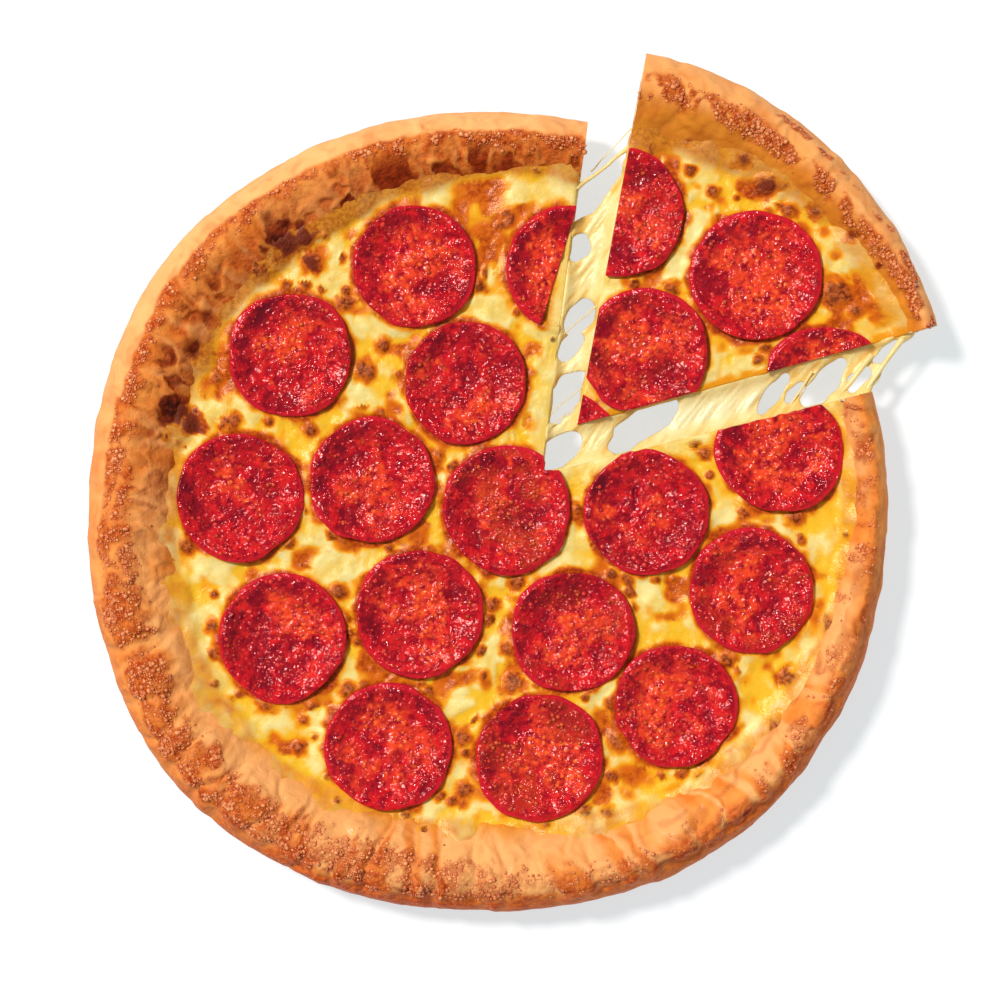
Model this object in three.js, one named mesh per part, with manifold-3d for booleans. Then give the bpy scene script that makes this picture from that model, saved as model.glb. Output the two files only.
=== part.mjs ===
// A pan pizza with pepperoni. One slice has been cut free and pulled out by about a finger's
// width, and the melted cheese still joins it to the rest in webs and strands.
// Millimetres, +Z up. The origin is on the underside, at the middle of the large piece.

import * as THREE from 'three';
import { mergeVertices } from 'three/addons/utils/BufferGeometryUtils.js';
import Module from 'manifold-3d';

const wasm = await Module();
wasm.setup();

// ---- Driving dimensions: lengths in millimetres, angles in degrees -------------------------

const PIZZA_RADIUS = 129.8;       // middle radius of the large piece's outline
const SLICE_RADIUS = 120.6;       // from the slice's tip to the outside of its rim
const BREAD_HEIGHT = 15;          // bread under the cheese
const CHEESE_TOP = 20;            // level of the melted cheese
const CREST_HEIGHT = 26;          // height of a rim of no width; a wider rim stands taller
const CREST_PER_WIDTH = 0.125;    // extra height for each millimetre of the rim's width
const FOOT_INSET = 8;             // how far the underside's edge lies inside the outline
const SEAT = 0.35;                // clearance between pieces that rest on each other

const NOTCH_CORNER = new THREE.Vector2(17.6, 12.6);    // inner corner of the place left open
const NOTCH_START = 14;           // direction of the cut on its right
const NOTCH_END = 82.4;           // direction of the cut on its left
const SLICE_TIP = new THREE.Vector2(29.2, 28.4);       // tip of the pulled slice
const SLICE_START = 15.4;
const SLICE_END = 79.4;

const LARGE_STEPS = 156;          // facets round the large piece's rim
const SLICE_STEPS = 32;
const CHEESE_STEPS = 84;
const RIM_FOLDS = 42;             // pinched folds round the rim
const SLICE_FOLD_SHARE = 0.6;     // the slice's folds are shallower than the large piece's

const PEPPERONI_STEPS = 20;
const PEPPERONI_EDGE = 3.2;       // height of the curled edge
const PEPPERONI_MIDDLE = 1.6;     // thickness in the middle

const WEB_BOTTOM = 16.3;          // the cheese webs hang in the gap between these two levels
const WEB_TOP = 18.9;
const WEB_ROOT = 1.6;             // how far a web reaches into the cheese on both sides
const HOLE_POINTS = 6;            // half the points round a hole in a web

// One row for each point of the rim's section, from the foot over the crest to the bread floor:
// inset from the outline, share of the rim's width, and share of the crest's height.
const RIM_SECTION = [
  [FOOT_INSET, 0, 0],
  [1.5, 0, 0.34],
  [0, 0, 0.54],
  [0, 0.07, 0.76],
  [0, 0.20, 0.92],
  [0, 0.38, 1],
  [0, 0.62, 0.91],
  [0, 0.85, 0.74],
  [0, 1, 0.66],
];

// Middle and radius of each pepperoni disc on the large piece.
const LARGE_PEPPERONI = [
  [-23.1, 79.1, 19.8], [25.9, 78.6, 19.8], [-62.4, 50.8, 20.0], [-6.7, 41.9, 19.9],
  [-78.9, 5.4, 20.6], [-36.5, 10.6, 20.2], [6.4, 1.0, 20.6], [51.0, 0.5, 20.0],
  [93.8, 20.6, 20.4], [84.8, -24.6, 20.0], [-65.1, -40.0, 20.6], [-21.4, -31.8, 20.5],
  [27.8, -37.8, 19.8], [60.5, -61.6, 19.8], [-31.4, -74.9, 20.4], [16.8, -77.9, 20.4],
];

// The same for the slice. Its cuts went through four of the five discs.
const SLICE_PEPPERONI = [
  [43.2, 96.2, 20.8], [86.2, 75.4, 21.0], [50.9, 51.4, 20.2], [108.8, 39.8, 20.5],
  [22.4, 19.7, 20.7],
];

// Cheese has run over one disc beside the left cut and covers it past this line.
const COVERED_DISC = 1;
const COVERED_FROM = new THREE.Vector2(17.9, 61.3);
const COVERED_TO = new THREE.Vector2(28.8, 96.5);

// Holes torn in the webs: middle, half length, half width, lean.
const WEB_HOLES = [
  [30.1, 85.1, 4.5, 2.8, 65], [30.1, 62.9, 6.0, 3.6, 52], [26.7, 53.4, 4.6, 2.4, 52],
  [25.8, 37.4, 8.6, 3.4, 58], [23.6, 20.0, 7.6, 3.4, 42], [50.2, 28.2, 12.0, 3.7, 30],
  [92.2, 38.4, 6.6, 2.4, 52], [99.6, 40.4, 4.6, 1.3, 50], [108.2, 42.6, 6.6, 2.6, 47],
  [117.2, 44.0, 4.2, 1.5, 46],
];

// Free edges of the webs, from the large piece to the slice.
const LEFT_WEB_EDGE = [[28.3, 93.6], [34.2, 96.2], [40.1, 105.2], [44.0, 111.5]];
const RIGHT_WEB_EDGE = [[130.8, 55.0], [123.8, 47.6], [116.0, 40.8], [109.6, 35.0]];
const TOP_STRAND = { from: [27.6, 102.6], to: [45.9, 115.2], halfWidth: 0.9 };

// ---- Small helpers -------------------------------------------------------------------------

const radians = THREE.MathUtils.degToRad;

function direction(degrees) {
  return new THREE.Vector2(Math.cos(radians(degrees)), Math.sin(radians(degrees)));
}

function closedGeometry(positions, triangles) {
  const geometry = new THREE.BufferGeometry();
  geometry.setAttribute('position', new THREE.Float32BufferAttribute(positions, 3));
  geometry.setIndex(triangles);
  const welded = mergeVertices(geometry, 1e-3);
  const index = welded.getIndex().array;
  const kept = [];
  for (let i = 0; i < index.length; i += 3) {
    const [a, b, c] = index.slice(i, i + 3);
    if (a !== b && b !== c && c !== a) kept.push(a, b, c);
  }
  welded.setIndex(kept);
  return welded;
}

// Rings of equal count, from the middle of the underside round the edge to the middle of the
// top, are joined by facets. Where the rings from capFrom to capTo are open arcs, both ends are
// closed by the flat section between them.
function ringSolid(rings, capFrom, capTo) {
  const steps = rings[0].length - 1;
  const at = (row, column) => row * (steps + 1) + column;
  const positions = rings.flat().flatMap((point) => point.toArray());
  const triangles = [];
  for (let row = 0; row + 1 < rings.length; row += 1) {
    for (let column = 0; column < steps; column += 1) {
      const near = [at(row, column), at(row, column + 1)];
      const far = [at(row + 1, column), at(row + 1, column + 1)];
      triangles.push(near[0], near[1], far[1], near[0], far[1], far[0]);
    }
  }
  for (const column of capTo > capFrom ? [0, steps] : []) {
    const start = rings[capFrom][column];
    const contour = [];
    for (let row = capFrom; row <= capTo; row += 1) {
      const point = rings[row][column];
      contour.push(new THREE.Vector2(Math.hypot(point.x - start.x, point.y - start.y), point.z));
    }
    for (const face of THREE.ShapeUtils.triangulateShape(contour, [])) {
      const corners = face.map((corner) => at(capFrom + corner, column));
      triangles.push(...(column === 0 ? corners : corners.reverse()));
    }
  }
  return closedGeometry(positions, triangles);
}

function toManifold(geometry) {
  const bare = geometry.clone();
  bare.deleteAttribute('normal');
  bare.deleteAttribute('uv');
  const welded = mergeVertices(bare, 1e-3);
  return new wasm.Manifold(new wasm.Mesh({
    numProp: 3,
    vertProperties: new Float32Array(welded.getAttribute('position').array),
    triVerts: new Uint32Array(welded.getIndex().array),
  }));
}

function toGeometry(manifold) {
  const mesh = manifold.getMesh();
  const geometry = new THREE.BufferGeometry();
  geometry.setAttribute('position', new THREE.Float32BufferAttribute(mesh.vertProperties, 3));
  geometry.setIndex(Array.from(mesh.triVerts));
  return geometry;
}

function upright(shape, bottom, top, curveSegments = 1) {
  const settings = { depth: top - bottom, bevelEnabled: false, curveSegments };
  return new THREE.ExtrudeGeometry(shape, settings).translate(0, 0, bottom);
}

// ---- Outline, rim and folds ----------------------------------------------------------------

// The large piece is a circle drawn out a little in four places, most at its lower left.
function pizzaOutline(angle) {
  const swing = 1.5 + 0.9 * Math.cos(angle - radians(230));
  return PIZZA_RADIUS + swing * Math.cos(4 * (angle - radians(224)));
}

// The rim is wide at the left and narrow at the right.
function pizzaRimWidth(angle) {
  return 23.5 - 8.5 * Math.cos(angle - radians(25)) + 2.5 * Math.cos(2 * (angle - radians(110)));
}

function sliceRimWidth(angle) {
  const across = (angle - radians(SLICE_START)) / radians(SLICE_END - SLICE_START);
  return 11.8 + 18.4 * across;
}

function sliceOutline(angle) {
  const across = (angle - radians(SLICE_START)) / radians(SLICE_END - SLICE_START);
  return SLICE_RADIUS + 1.6 * (across - 0.5);
}

// How deep the pinched folds are: rounded lumps between sharp creases, deepest at the left.
function foldDepth(angle) {
  const strength = 0.75 - 0.6 * Math.cos(angle - radians(25));
  return strength * (1 - Math.abs(Math.sin(RIM_FOLDS * angle / 2)));
}

// Radius and height of every point of the crust's section at one angle.
function crustSection(outline, width, fold) {
  const crest = CREST_HEIGHT + CREST_PER_WIDTH * width - 1.2 * fold;
  const rows = RIM_SECTION.map(([inset, share, rise]) => {
    const pinch = share > 0 && share < 0.8 ? 0.9 * fold : 0;
    return [outline - inset - share * width - pinch, Math.max(rise * crest, 0)];
  });
  return [...rows, [outline - width - 1, BREAD_HEIGHT]];
}

// Radius and height of the cheese layer's edge: it rises a little against the rim.
function cheeseSection(outline, width) {
  const edge = outline - width - 0.7;
  return [
    [edge - 1.1, BREAD_HEIGHT + SEAT],
    [edge - 0.1, CHEESE_TOP - 0.4],
    [edge - 0.9, CHEESE_TOP + 0.1],
    [edge - 5, CHEESE_TOP],
  ];
}

// ---- Rings of the large piece and of the slice ---------------------------------------------

// The angle at which a circle about the origin meets a cut that leaves the notch's corner.
function cutAngle(radius, cutDegrees) {
  const way = direction(cutDegrees);
  const along = NOTCH_CORNER.dot(way);
  const length = Math.sqrt(along ** 2 - NOTCH_CORNER.lengthSq() + radius ** 2) - along;
  return NOTCH_CORNER.clone().addScaledVector(way, length).angle();
}

// A ring of the large piece runs from the left cut round to the right cut. Its radius changes
// with the angle, so both end angles are found by a few repeats.
function pizzaRing(steps, rowAt) {
  let first = radians(NOTCH_END);
  let last = radians(NOTCH_START);
  for (let repeat = 0; repeat < 8; repeat += 1) {
    first = cutAngle(rowAt(first)[0], NOTCH_END);
    last = cutAngle(rowAt(last)[0], NOTCH_START);
  }
  return Array.from({ length: steps + 1 }, (_, step) => {
    const angle = first + (last + 2 * Math.PI - first) * step / steps;
    const [radius, height] = rowAt(angle);
    return new THREE.Vector3(radius * Math.cos(angle), radius * Math.sin(angle), height);
  });
}

function pizzaSolid(steps, sectionAt, floorHeight, topHeight) {
  const corner = NOTCH_CORNER.length();
  const rows = sectionAt(0).length;
  const middle = (height) => Array.from({ length: steps + 1 }, () => new THREE.Vector3(0, 0, height));
  const rings = [
    middle(floorHeight),
    pizzaRing(steps, () => [corner, floorHeight]),
    ...Array.from({ length: rows }, (_, row) => pizzaRing(steps, (angle) => sectionAt(angle)[row])),
    pizzaRing(steps, () => [corner, topHeight]),
    middle(topHeight),
  ];
  return ringSolid(rings, 1, rings.length - 2);
}

function sliceSolid(steps, sectionAt, floorHeight, topHeight) {
  const rows = sectionAt(0).length;
  const ring = (rowAt) => Array.from({ length: steps + 1 }, (_, step) => {
    const angle = radians(SLICE_START + (SLICE_END - SLICE_START) * step / steps);
    const [radius, height] = rowAt(angle);
    return new THREE.Vector3(
      SLICE_TIP.x + radius * Math.cos(angle),
      SLICE_TIP.y + radius * Math.sin(angle),
      height,
    );
  });
  const rings = [
    ring(() => [0, floorHeight]),
    ...Array.from({ length: rows }, (_, row) => ring((angle) => sectionAt(angle)[row])),
    ring(() => [0, topHeight]),
  ];
  return ringSolid(rings, 0, rings.length - 1);
}

// ---- Cheese --------------------------------------------------------------------------------

function alongCut(corner, degrees, distance, aside) {
  const way = direction(degrees);
  return [
    corner.x + way.x * distance - way.y * aside,
    corner.y + way.y * distance + way.x * aside,
  ];
}

// One sheet fills the bent gap between the two pieces, from free edge to free edge, and is torn
// open by leaning holes.
function webShape() {
  const leftReach = 82;
  const shape = new THREE.Shape();
  shape.moveTo(...alongCut(NOTCH_CORNER, NOTCH_END, leftReach, WEB_ROOT));
  LEFT_WEB_EDGE.forEach((point) => shape.lineTo(...point));
  shape.lineTo(...alongCut(SLICE_TIP, SLICE_END, leftReach, -WEB_ROOT));
  shape.lineTo(...alongCut(SLICE_TIP, (SLICE_START + SLICE_END) / 2, 3 * WEB_ROOT, 0));
  shape.lineTo(...alongCut(SLICE_TIP, SLICE_START, 102, WEB_ROOT));
  RIGHT_WEB_EDGE.forEach((point) => shape.lineTo(...point));
  shape.lineTo(...alongCut(NOTCH_CORNER, NOTCH_START, 93, -WEB_ROOT));
  shape.lineTo(...alongCut(NOTCH_CORNER, (NOTCH_START + NOTCH_END) / 2, -2 * WEB_ROOT, 0));
  shape.closePath();
  for (const [x, y, halfLength, halfWidth, lean] of WEB_HOLES) {
    const hole = new THREE.Path();
    hole.absellipse(x, y, halfLength, halfWidth, 0, 2 * Math.PI, false, radians(lean));
    shape.holes.push(hole);
  }
  return shape;
}

function strandShape({ from, to, halfWidth }) {
  const start = new THREE.Vector2(...from);
  const end = new THREE.Vector2(...to);
  const side = end.clone().sub(start).normalize().rotateAround(new THREE.Vector2(), Math.PI / 2);
  side.multiplyScalar(halfWidth);
  return new THREE.Shape([
    start.clone().sub(side), end.clone().sub(side), end.clone().add(side), start.clone().add(side),
  ]);
}

function cheeseGeometry() {
  const bottom = BREAD_HEIGHT + SEAT;
  const largeSection = (angle) => cheeseSection(pizzaOutline(angle), pizzaRimWidth(angle));
  const sliceSection = (angle) => cheeseSection(sliceOutline(angle), sliceRimWidth(angle));
  const large = pizzaSolid(CHEESE_STEPS, largeSection, bottom, CHEESE_TOP);
  const slice = sliceSolid(SLICE_STEPS / 2, sliceSection, bottom, CHEESE_TOP);
  const web = upright(webShape(), WEB_BOTTOM, WEB_TOP, HOLE_POINTS);
  const strand = upright(strandShape(TOP_STRAND), WEB_BOTTOM + 0.4, WEB_TOP - 0.4);
  const layers = toManifold(large).add(toManifold(slice));
  return toGeometry(layers.add(toManifold(web)).add(toManifold(strand)));
}

// ---- Crust ---------------------------------------------------------------------------------

function largeCrustGeometry() {
  const section = (angle) => crustSection(pizzaOutline(angle), pizzaRimWidth(angle), foldDepth(angle));
  return pizzaSolid(LARGE_STEPS, section, 0, BREAD_HEIGHT);
}

function sliceCrustGeometry() {
  const section = (angle) => {
    const fold = SLICE_FOLD_SHARE * foldDepth(angle);
    return crustSection(sliceOutline(angle), sliceRimWidth(angle), fold);
  };
  return sliceSolid(SLICE_STEPS, section, 0, BREAD_HEIGHT);
}

// ---- Pepperoni -----------------------------------------------------------------------------

// A disc with a flat underside, a bevelled edge and a hollow top, as it curls in the oven.
function pepperoniGeometry(x, y, radius) {
  const seat = CHEESE_TOP + SEAT;
  const rows = [
    [0, seat],
    [0.86 * radius, seat],
    [radius, seat + 0.55 * PEPPERONI_EDGE],
    [radius - 1.2, seat + PEPPERONI_EDGE],
    [0.6 * radius, seat + PEPPERONI_MIDDLE + 0.2],
    [0, seat + PEPPERONI_MIDDLE],
  ];
  const rings = rows.map(([reach, height]) => Array.from({ length: PEPPERONI_STEPS + 1 }, (_, step) => {
    const angle = 2 * Math.PI * step / PEPPERONI_STEPS;
    return new THREE.Vector3(x + reach * Math.cos(angle), y + reach * Math.sin(angle), height);
  }));
  return ringSolid(rings, 0, 0);
}

// A prism over the wedge between two directions from one corner.
function wedgePrism(corner, startDegrees, endDegrees) {
  const reach = 2 * PIZZA_RADIUS;
  const shape = new THREE.Shape([
    corner,
    corner.clone().addScaledVector(direction(startDegrees), reach),
    corner.clone().addScaledVector(direction(endDegrees), reach),
  ]);
  return toManifold(upright(shape, CHEESE_TOP - 5, CHEESE_TOP + 15));
}

// A prism over everything to the right of a line.
function rightOfLine(from, to) {
  const reach = 2 * PIZZA_RADIUS;
  const way = to.clone().sub(from).normalize();
  const side = new THREE.Vector2(way.y, -way.x);
  const low = from.clone().addScaledVector(way, -reach);
  const high = from.clone().addScaledVector(way, reach);
  const shape = new THREE.Shape([
    low, low.clone().addScaledVector(side, reach), high.clone().addScaledVector(side, reach), high,
  ]);
  return toManifold(upright(shape, CHEESE_TOP - 5, CHEESE_TOP + 15));
}

function largePepperoniGeometry([x, y, radius], index) {
  const disc = pepperoniGeometry(x, y, radius);
  const notch = wedgePrism(NOTCH_CORNER, NOTCH_START, NOTCH_END);
  const covered = index === COVERED_DISC ? rightOfLine(COVERED_FROM, COVERED_TO) : null;
  const whole = toManifold(disc);
  const cut = whole.subtract(notch);
  const bare = covered ? cut.subtract(covered) : cut;
  const untouched = !covered && Math.abs(cut.volume() - whole.volume()) < 1e-3;
  return untouched ? disc : toGeometry(bare);
}

function slicePepperoniGeometry([x, y, radius]) {
  const wedge = wedgePrism(SLICE_TIP, SLICE_START, SLICE_END);
  return toGeometry(toManifold(pepperoniGeometry(x, y, radius)).intersect(wedge));
}

// ---- Assembly ------------------------------------------------------------------------------

const BREAD = { color: 0xd9924f, roughness: 0.7, metalness: 0 };
const CHEESE = { color: 0xf2cf7a, roughness: 0.4, metalness: 0 };
const PEPPERONI = { color: 0xb5222a, roughness: 0.35, metalness: 0 };

const pizza = new THREE.Group();

function addPiece(name, geometry, finish) {
  const mesh = new THREE.Mesh(geometry, new THREE.MeshStandardMaterial(finish));
  mesh.name = name;
  pizza.add(mesh);
}

function numbered(prefix, index) {
  return `${prefix}_${String(index + 1).padStart(2, '0')}`;
}

addPiece('crust', largeCrustGeometry(), BREAD);
addPiece('crust_slice', sliceCrustGeometry(), BREAD);
addPiece('cheese', cheeseGeometry(), CHEESE);
LARGE_PEPPERONI.forEach((disc, index) => {
  addPiece(numbered('pepperoni', index), largePepperoniGeometry(disc, index), PEPPERONI);
});
SLICE_PEPPERONI.forEach((disc, index) => {
  addPiece(numbered('slice_pepperoni', index), slicePepperoniGeometry(disc), PEPPERONI);
});

export default pizza;
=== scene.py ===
"""A pan pizza with pepperoni, one slice pulled out on strings of melted cheese.

Lengths here are millimetres until a mesh is made; angles are radians unless a name ends in _DEG.
Every piece is a surface worked out with numpy on a grid of two parameters, in the frame's own place.
"""

import math

import bpy
import numpy as np
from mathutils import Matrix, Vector


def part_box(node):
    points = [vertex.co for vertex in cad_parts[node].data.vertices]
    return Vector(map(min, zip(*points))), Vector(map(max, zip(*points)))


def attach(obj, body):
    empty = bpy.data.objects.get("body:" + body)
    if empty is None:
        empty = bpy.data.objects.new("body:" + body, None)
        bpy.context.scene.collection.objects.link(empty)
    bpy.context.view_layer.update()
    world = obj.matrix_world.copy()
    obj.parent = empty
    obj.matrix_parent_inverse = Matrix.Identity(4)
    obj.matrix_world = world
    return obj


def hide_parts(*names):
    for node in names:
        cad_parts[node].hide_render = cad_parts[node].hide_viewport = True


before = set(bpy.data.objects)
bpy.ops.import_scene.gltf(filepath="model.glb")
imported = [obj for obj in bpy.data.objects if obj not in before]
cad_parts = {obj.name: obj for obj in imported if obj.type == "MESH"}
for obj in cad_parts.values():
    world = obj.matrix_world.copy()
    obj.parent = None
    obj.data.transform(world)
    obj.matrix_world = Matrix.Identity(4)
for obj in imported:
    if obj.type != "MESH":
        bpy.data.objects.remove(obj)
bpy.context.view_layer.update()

MM = 0.001


def box_mm(node):
    low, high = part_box(node)
    return np.array(low) / MM, np.array(high) / MM


# ---- Sizes that the crust, the cheese and the cuts share ------------------------------------

OUTLINE_RADIUS = 129.8
SLICE_RADIUS = 120.6
BREAD_HEIGHT = 15.0
CHEESE_LEVEL = 20.0
CREST_HEIGHT = 26.0
CREST_PER_WIDTH = 0.125
FOOT_INSET = 8.0

NOTCH_CORNER = np.array([17.6, 12.6])
NOTCH_DEG = (14.0, 82.4)
SLICE_TIP = np.array([29.2, 28.4])
SLICE_DEG = (15.4, 79.4)

# Inset from the outline, share of the rim's width, share of the crest's height.
RIM_SECTION = np.array([
    [FOOT_INSET, 0.00, 0.00],
    [1.5, 0.00, 0.34],
    [0.0, 0.00, 0.54],
    [0.0, 0.07, 0.76],
    [0.0, 0.20, 0.92],
    [0.0, 0.38, 1.00],
    [0.0, 0.62, 0.91],
    [0.0, 0.85, 0.74],
    [0.0, 1.00, 0.64],
    [1.0, 1.00, 0.51],
])
USUAL_WIDTH = 26.0

# Discs that the cuts went through: middle and radius of the whole disc.
CUT_DISCS = {
    "pepperoni_02": (25.9, 78.6, 19.8),
    "pepperoni_07": (6.4, 1.0, 20.6),
    "pepperoni_09": (93.8, 20.6, 20.4),
    "slice_pepperoni_01": (43.2, 96.2, 20.8),
    "slice_pepperoni_03": (50.9, 51.4, 20.2),
    "slice_pepperoni_04": (108.8, 39.8, 20.5),
    "slice_pepperoni_05": (22.4, 19.7, 20.7),
}
COVER_LINE = (np.array([17.9, 61.3]), np.array([28.8, 96.5]))


# ---- Noise and small maths -------------------------------------------------------------------

def lattice(ix, iy, iz, seed):
    """A number from 0 to 1 at every lattice corner, mixed from its three whole-number places."""
    mixed = (ix * 374761393 + iy * 668265263 + iz * 1440662683 + seed * 1274126177) & 0xFFFFFFFF
    mixed = ((mixed ^ (mixed >> 13)) * 1274126177) & 0xFFFFFFFF
    mixed = ((mixed ^ (mixed >> 15)) * 668265263) & 0xFFFFFFFF
    return ((mixed ^ (mixed >> 16)) & 0xFFFFFF) / 0xFFFFFF


def noise(points, size, seed=0):
    """Smooth noise from -1 to 1: lattice numbers a size apart, blended by a quintic fade."""
    place = points / size
    corner = np.floor(place).astype(np.int64)
    part = place - corner
    fade = part ** 3 * (part * (part * 6 - 15) + 10)
    total = np.zeros(len(points))
    for dx, dy, dz in np.ndindex(2, 2, 2):
        weight = np.abs(1 - dx - fade[:, 0]) * np.abs(1 - dy - fade[:, 1]) * np.abs(1 - dz - fade[:, 2])
        total += weight * lattice(corner[:, 0] + dx, corner[:, 1] + dy, corner[:, 2] + dz, seed)
    return 2 * total - 1


def fractal(points, size, octaves=3, seed=0):
    """Noise with finer noise of half the size and half the height laid over it, octave by octave."""
    total = np.zeros(len(points))
    for octave in range(octaves):
        total += noise(points, size / 2 ** octave, seed + 17 * octave) / 2 ** octave
    return total


def cells(points, size, seed=0, flat=False):
    """Distances to the nearest and second nearest scattered seed, in sizes, and the nearest one's number."""
    place = points / size
    corner = np.floor(place).astype(np.int64)
    first = np.full(len(points), 9.0)
    second = first.copy()
    number = np.zeros(len(points))
    for dx, dy, dz in np.ndindex(3, 3, 1 if flat else 3):
        near = corner + (dx - 1, dy - 1, 0 if flat else dz - 1)
        jitter = np.stack([lattice(*near.T, seed + k) for k in (1, 2, 3)], axis=1)
        if flat:
            jitter[:, 2] = place[:, 2] - near[:, 2]
        distance = np.linalg.norm(near + jitter - place, axis=1)
        closer = distance < first
        second = np.where(closer, first, np.minimum(second, distance))
        number = np.where(closer, lattice(*near.T, seed + 7), number)
        first = np.minimum(first, distance)
    return first, second, number


def from_border(points, size, seed):
    """Distance from the border between two flat cells: half of how much farther the second seed is."""
    near, second, _ = cells(points, size, seed, flat=True)
    return (second - near) * size / 2


def shifts(points, size, seed):
    """A smooth shift of each point along x and y, by two noises."""
    flat = np.zeros(len(points))
    return np.stack([noise(points, size, seed), noise(points, size, seed + 1), flat], axis=1)


def step(low, high, value):
    """0 below low, 1 above high, and a smooth rise between."""
    part = np.clip((value - low) / (high - low), 0, 1)
    return part * part * (3 - 2 * part)


def planar(x, y, z=0.0):
    """Points of a plane as rows of three numbers."""
    return np.stack([np.ravel(x), np.ravel(y), np.zeros(np.size(x)) + np.ravel(z)], axis=1)


def heading(degrees):
    return np.array([math.cos(math.radians(degrees)), math.sin(math.radians(degrees))])


def left_of(x, y, start, way):
    """Distance of a point to the left of the line that leaves start along way."""
    return way[0] * (y - start[1]) - way[1] * (x - start[0])


# ---- Meshes ------------------------------------------------------------------------------------

def grid_quads(indices):
    """Quads between neighbouring rows and columns of a table of vertex numbers."""
    corners = [indices[:-1, :-1], indices[:-1, 1:], indices[1:, 1:], indices[1:, :-1]]
    return np.stack([corner.ravel() for corner in corners], axis=1)


def fan(hub, ring):
    """Triangles from one vertex to each pair of neighbours along a ring."""
    return np.stack([np.full(len(ring) - 1, hub), ring[:-1], ring[1:]], axis=1)


def without_slivers(faces):
    """Faces that have lost a corner to a welded pole or tip are turned into triangles."""
    if faces.shape[1] == 3:
        distinct = (faces[:, 0] != faces[:, 1]) & (faces[:, 1] != faces[:, 2]) & (faces[:, 2] != faces[:, 0])
        return [faces[distinct]]
    same = faces == np.roll(faces, -1, axis=1)
    whole = faces[~same.any(axis=1)]
    short = faces[same.sum(axis=1) == 1]
    drop = same[same.sum(axis=1) == 1]
    triangles = short[~drop].reshape(-1, 3)
    return [whole, triangles]


def add_piece(name, points, groups, finishes, fields=None, replaces=(), sharp_deg=None):
    """Makes one closed mesh object. Each group of faces is (faces, number of its finish)."""
    faces, numbers = [], []
    for group, number in groups:
        for part in without_slivers(group):
            if len(part):
                faces.append(part)
                numbers.append(np.full(len(part), number))
    sizes = np.concatenate([np.full(len(part), part.shape[1]) for part in faces])
    corners = np.concatenate([part.ravel() for part in faces])
    mesh = bpy.data.meshes.new(name)
    mesh.vertices.add(len(points))
    mesh.vertices.foreach_set("co", (points * MM).astype(np.float32).ravel())
    mesh.loops.add(len(corners))
    mesh.loops.foreach_set("vertex_index", corners.astype(np.int32))
    mesh.polygons.add(len(sizes))
    mesh.polygons.foreach_set("loop_start", np.concatenate([[0], np.cumsum(sizes)[:-1]]).astype(np.int32))
    mesh.polygons.foreach_set("material_index", np.concatenate(numbers).astype(np.int32))
    mesh.polygons.foreach_set("use_smooth", np.ones(len(sizes), dtype=bool))
    for finish in finishes:
        mesh.materials.append(finish)
    for field, values in (fields or {}).items():
        layer = mesh.attributes.new(field, "FLOAT", "POINT")
        layer.data.foreach_set("value", values.astype(np.float32))
    mesh.update(calc_edges=True)
    if sharp_deg:
        mesh.set_sharp_from_angle(angle=math.radians(sharp_deg))
    piece = bpy.data.objects.new(name, mesh)
    bpy.context.scene.collection.objects.link(piece)
    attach(piece, "root")
    if replaces:
        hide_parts(*replaces)


def grid_normals(points):
    """Unit normals of a grid of points, from the differences along its rows and columns."""
    along = np.gradient(points, axis=1)
    across = np.gradient(points, axis=0)
    normal = np.cross(along, across)
    return normal / np.maximum(np.linalg.norm(normal, axis=2, keepdims=True), 1e-9)


# ---- Finishes -----------------------------------------------------------------------------------

class Value:
    """A socket that carries a number, so that Python's own signs write the shader's maths."""

    def __init__(self, finish, socket):
        self.finish = finish
        self.socket = socket

    def _with(self, operation, left, right):
        return self.finish.node("ShaderNodeMath", {"operation": operation}, {0: left, 1: right})

    def __add__(self, other):
        return self._with("ADD", self, other)

    def __radd__(self, other):
        return self._with("ADD", other, self)

    def __sub__(self, other):
        return self._with("SUBTRACT", self, other)

    def __rsub__(self, other):
        return self._with("SUBTRACT", other, self)

    def __mul__(self, other):
        return self._with("MULTIPLY", self, other)

    def __rmul__(self, other):
        return self._with("MULTIPLY", other, self)

    def between(self, low, high):
        """0 below low, 1 above high, and a smooth rise between."""
        sockets = {"Value": self, "From Min": low, "From Max": high}
        return self.finish.node("ShaderNodeMapRange", {"interpolation_type": "SMOOTHSTEP"}, sockets)


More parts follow.
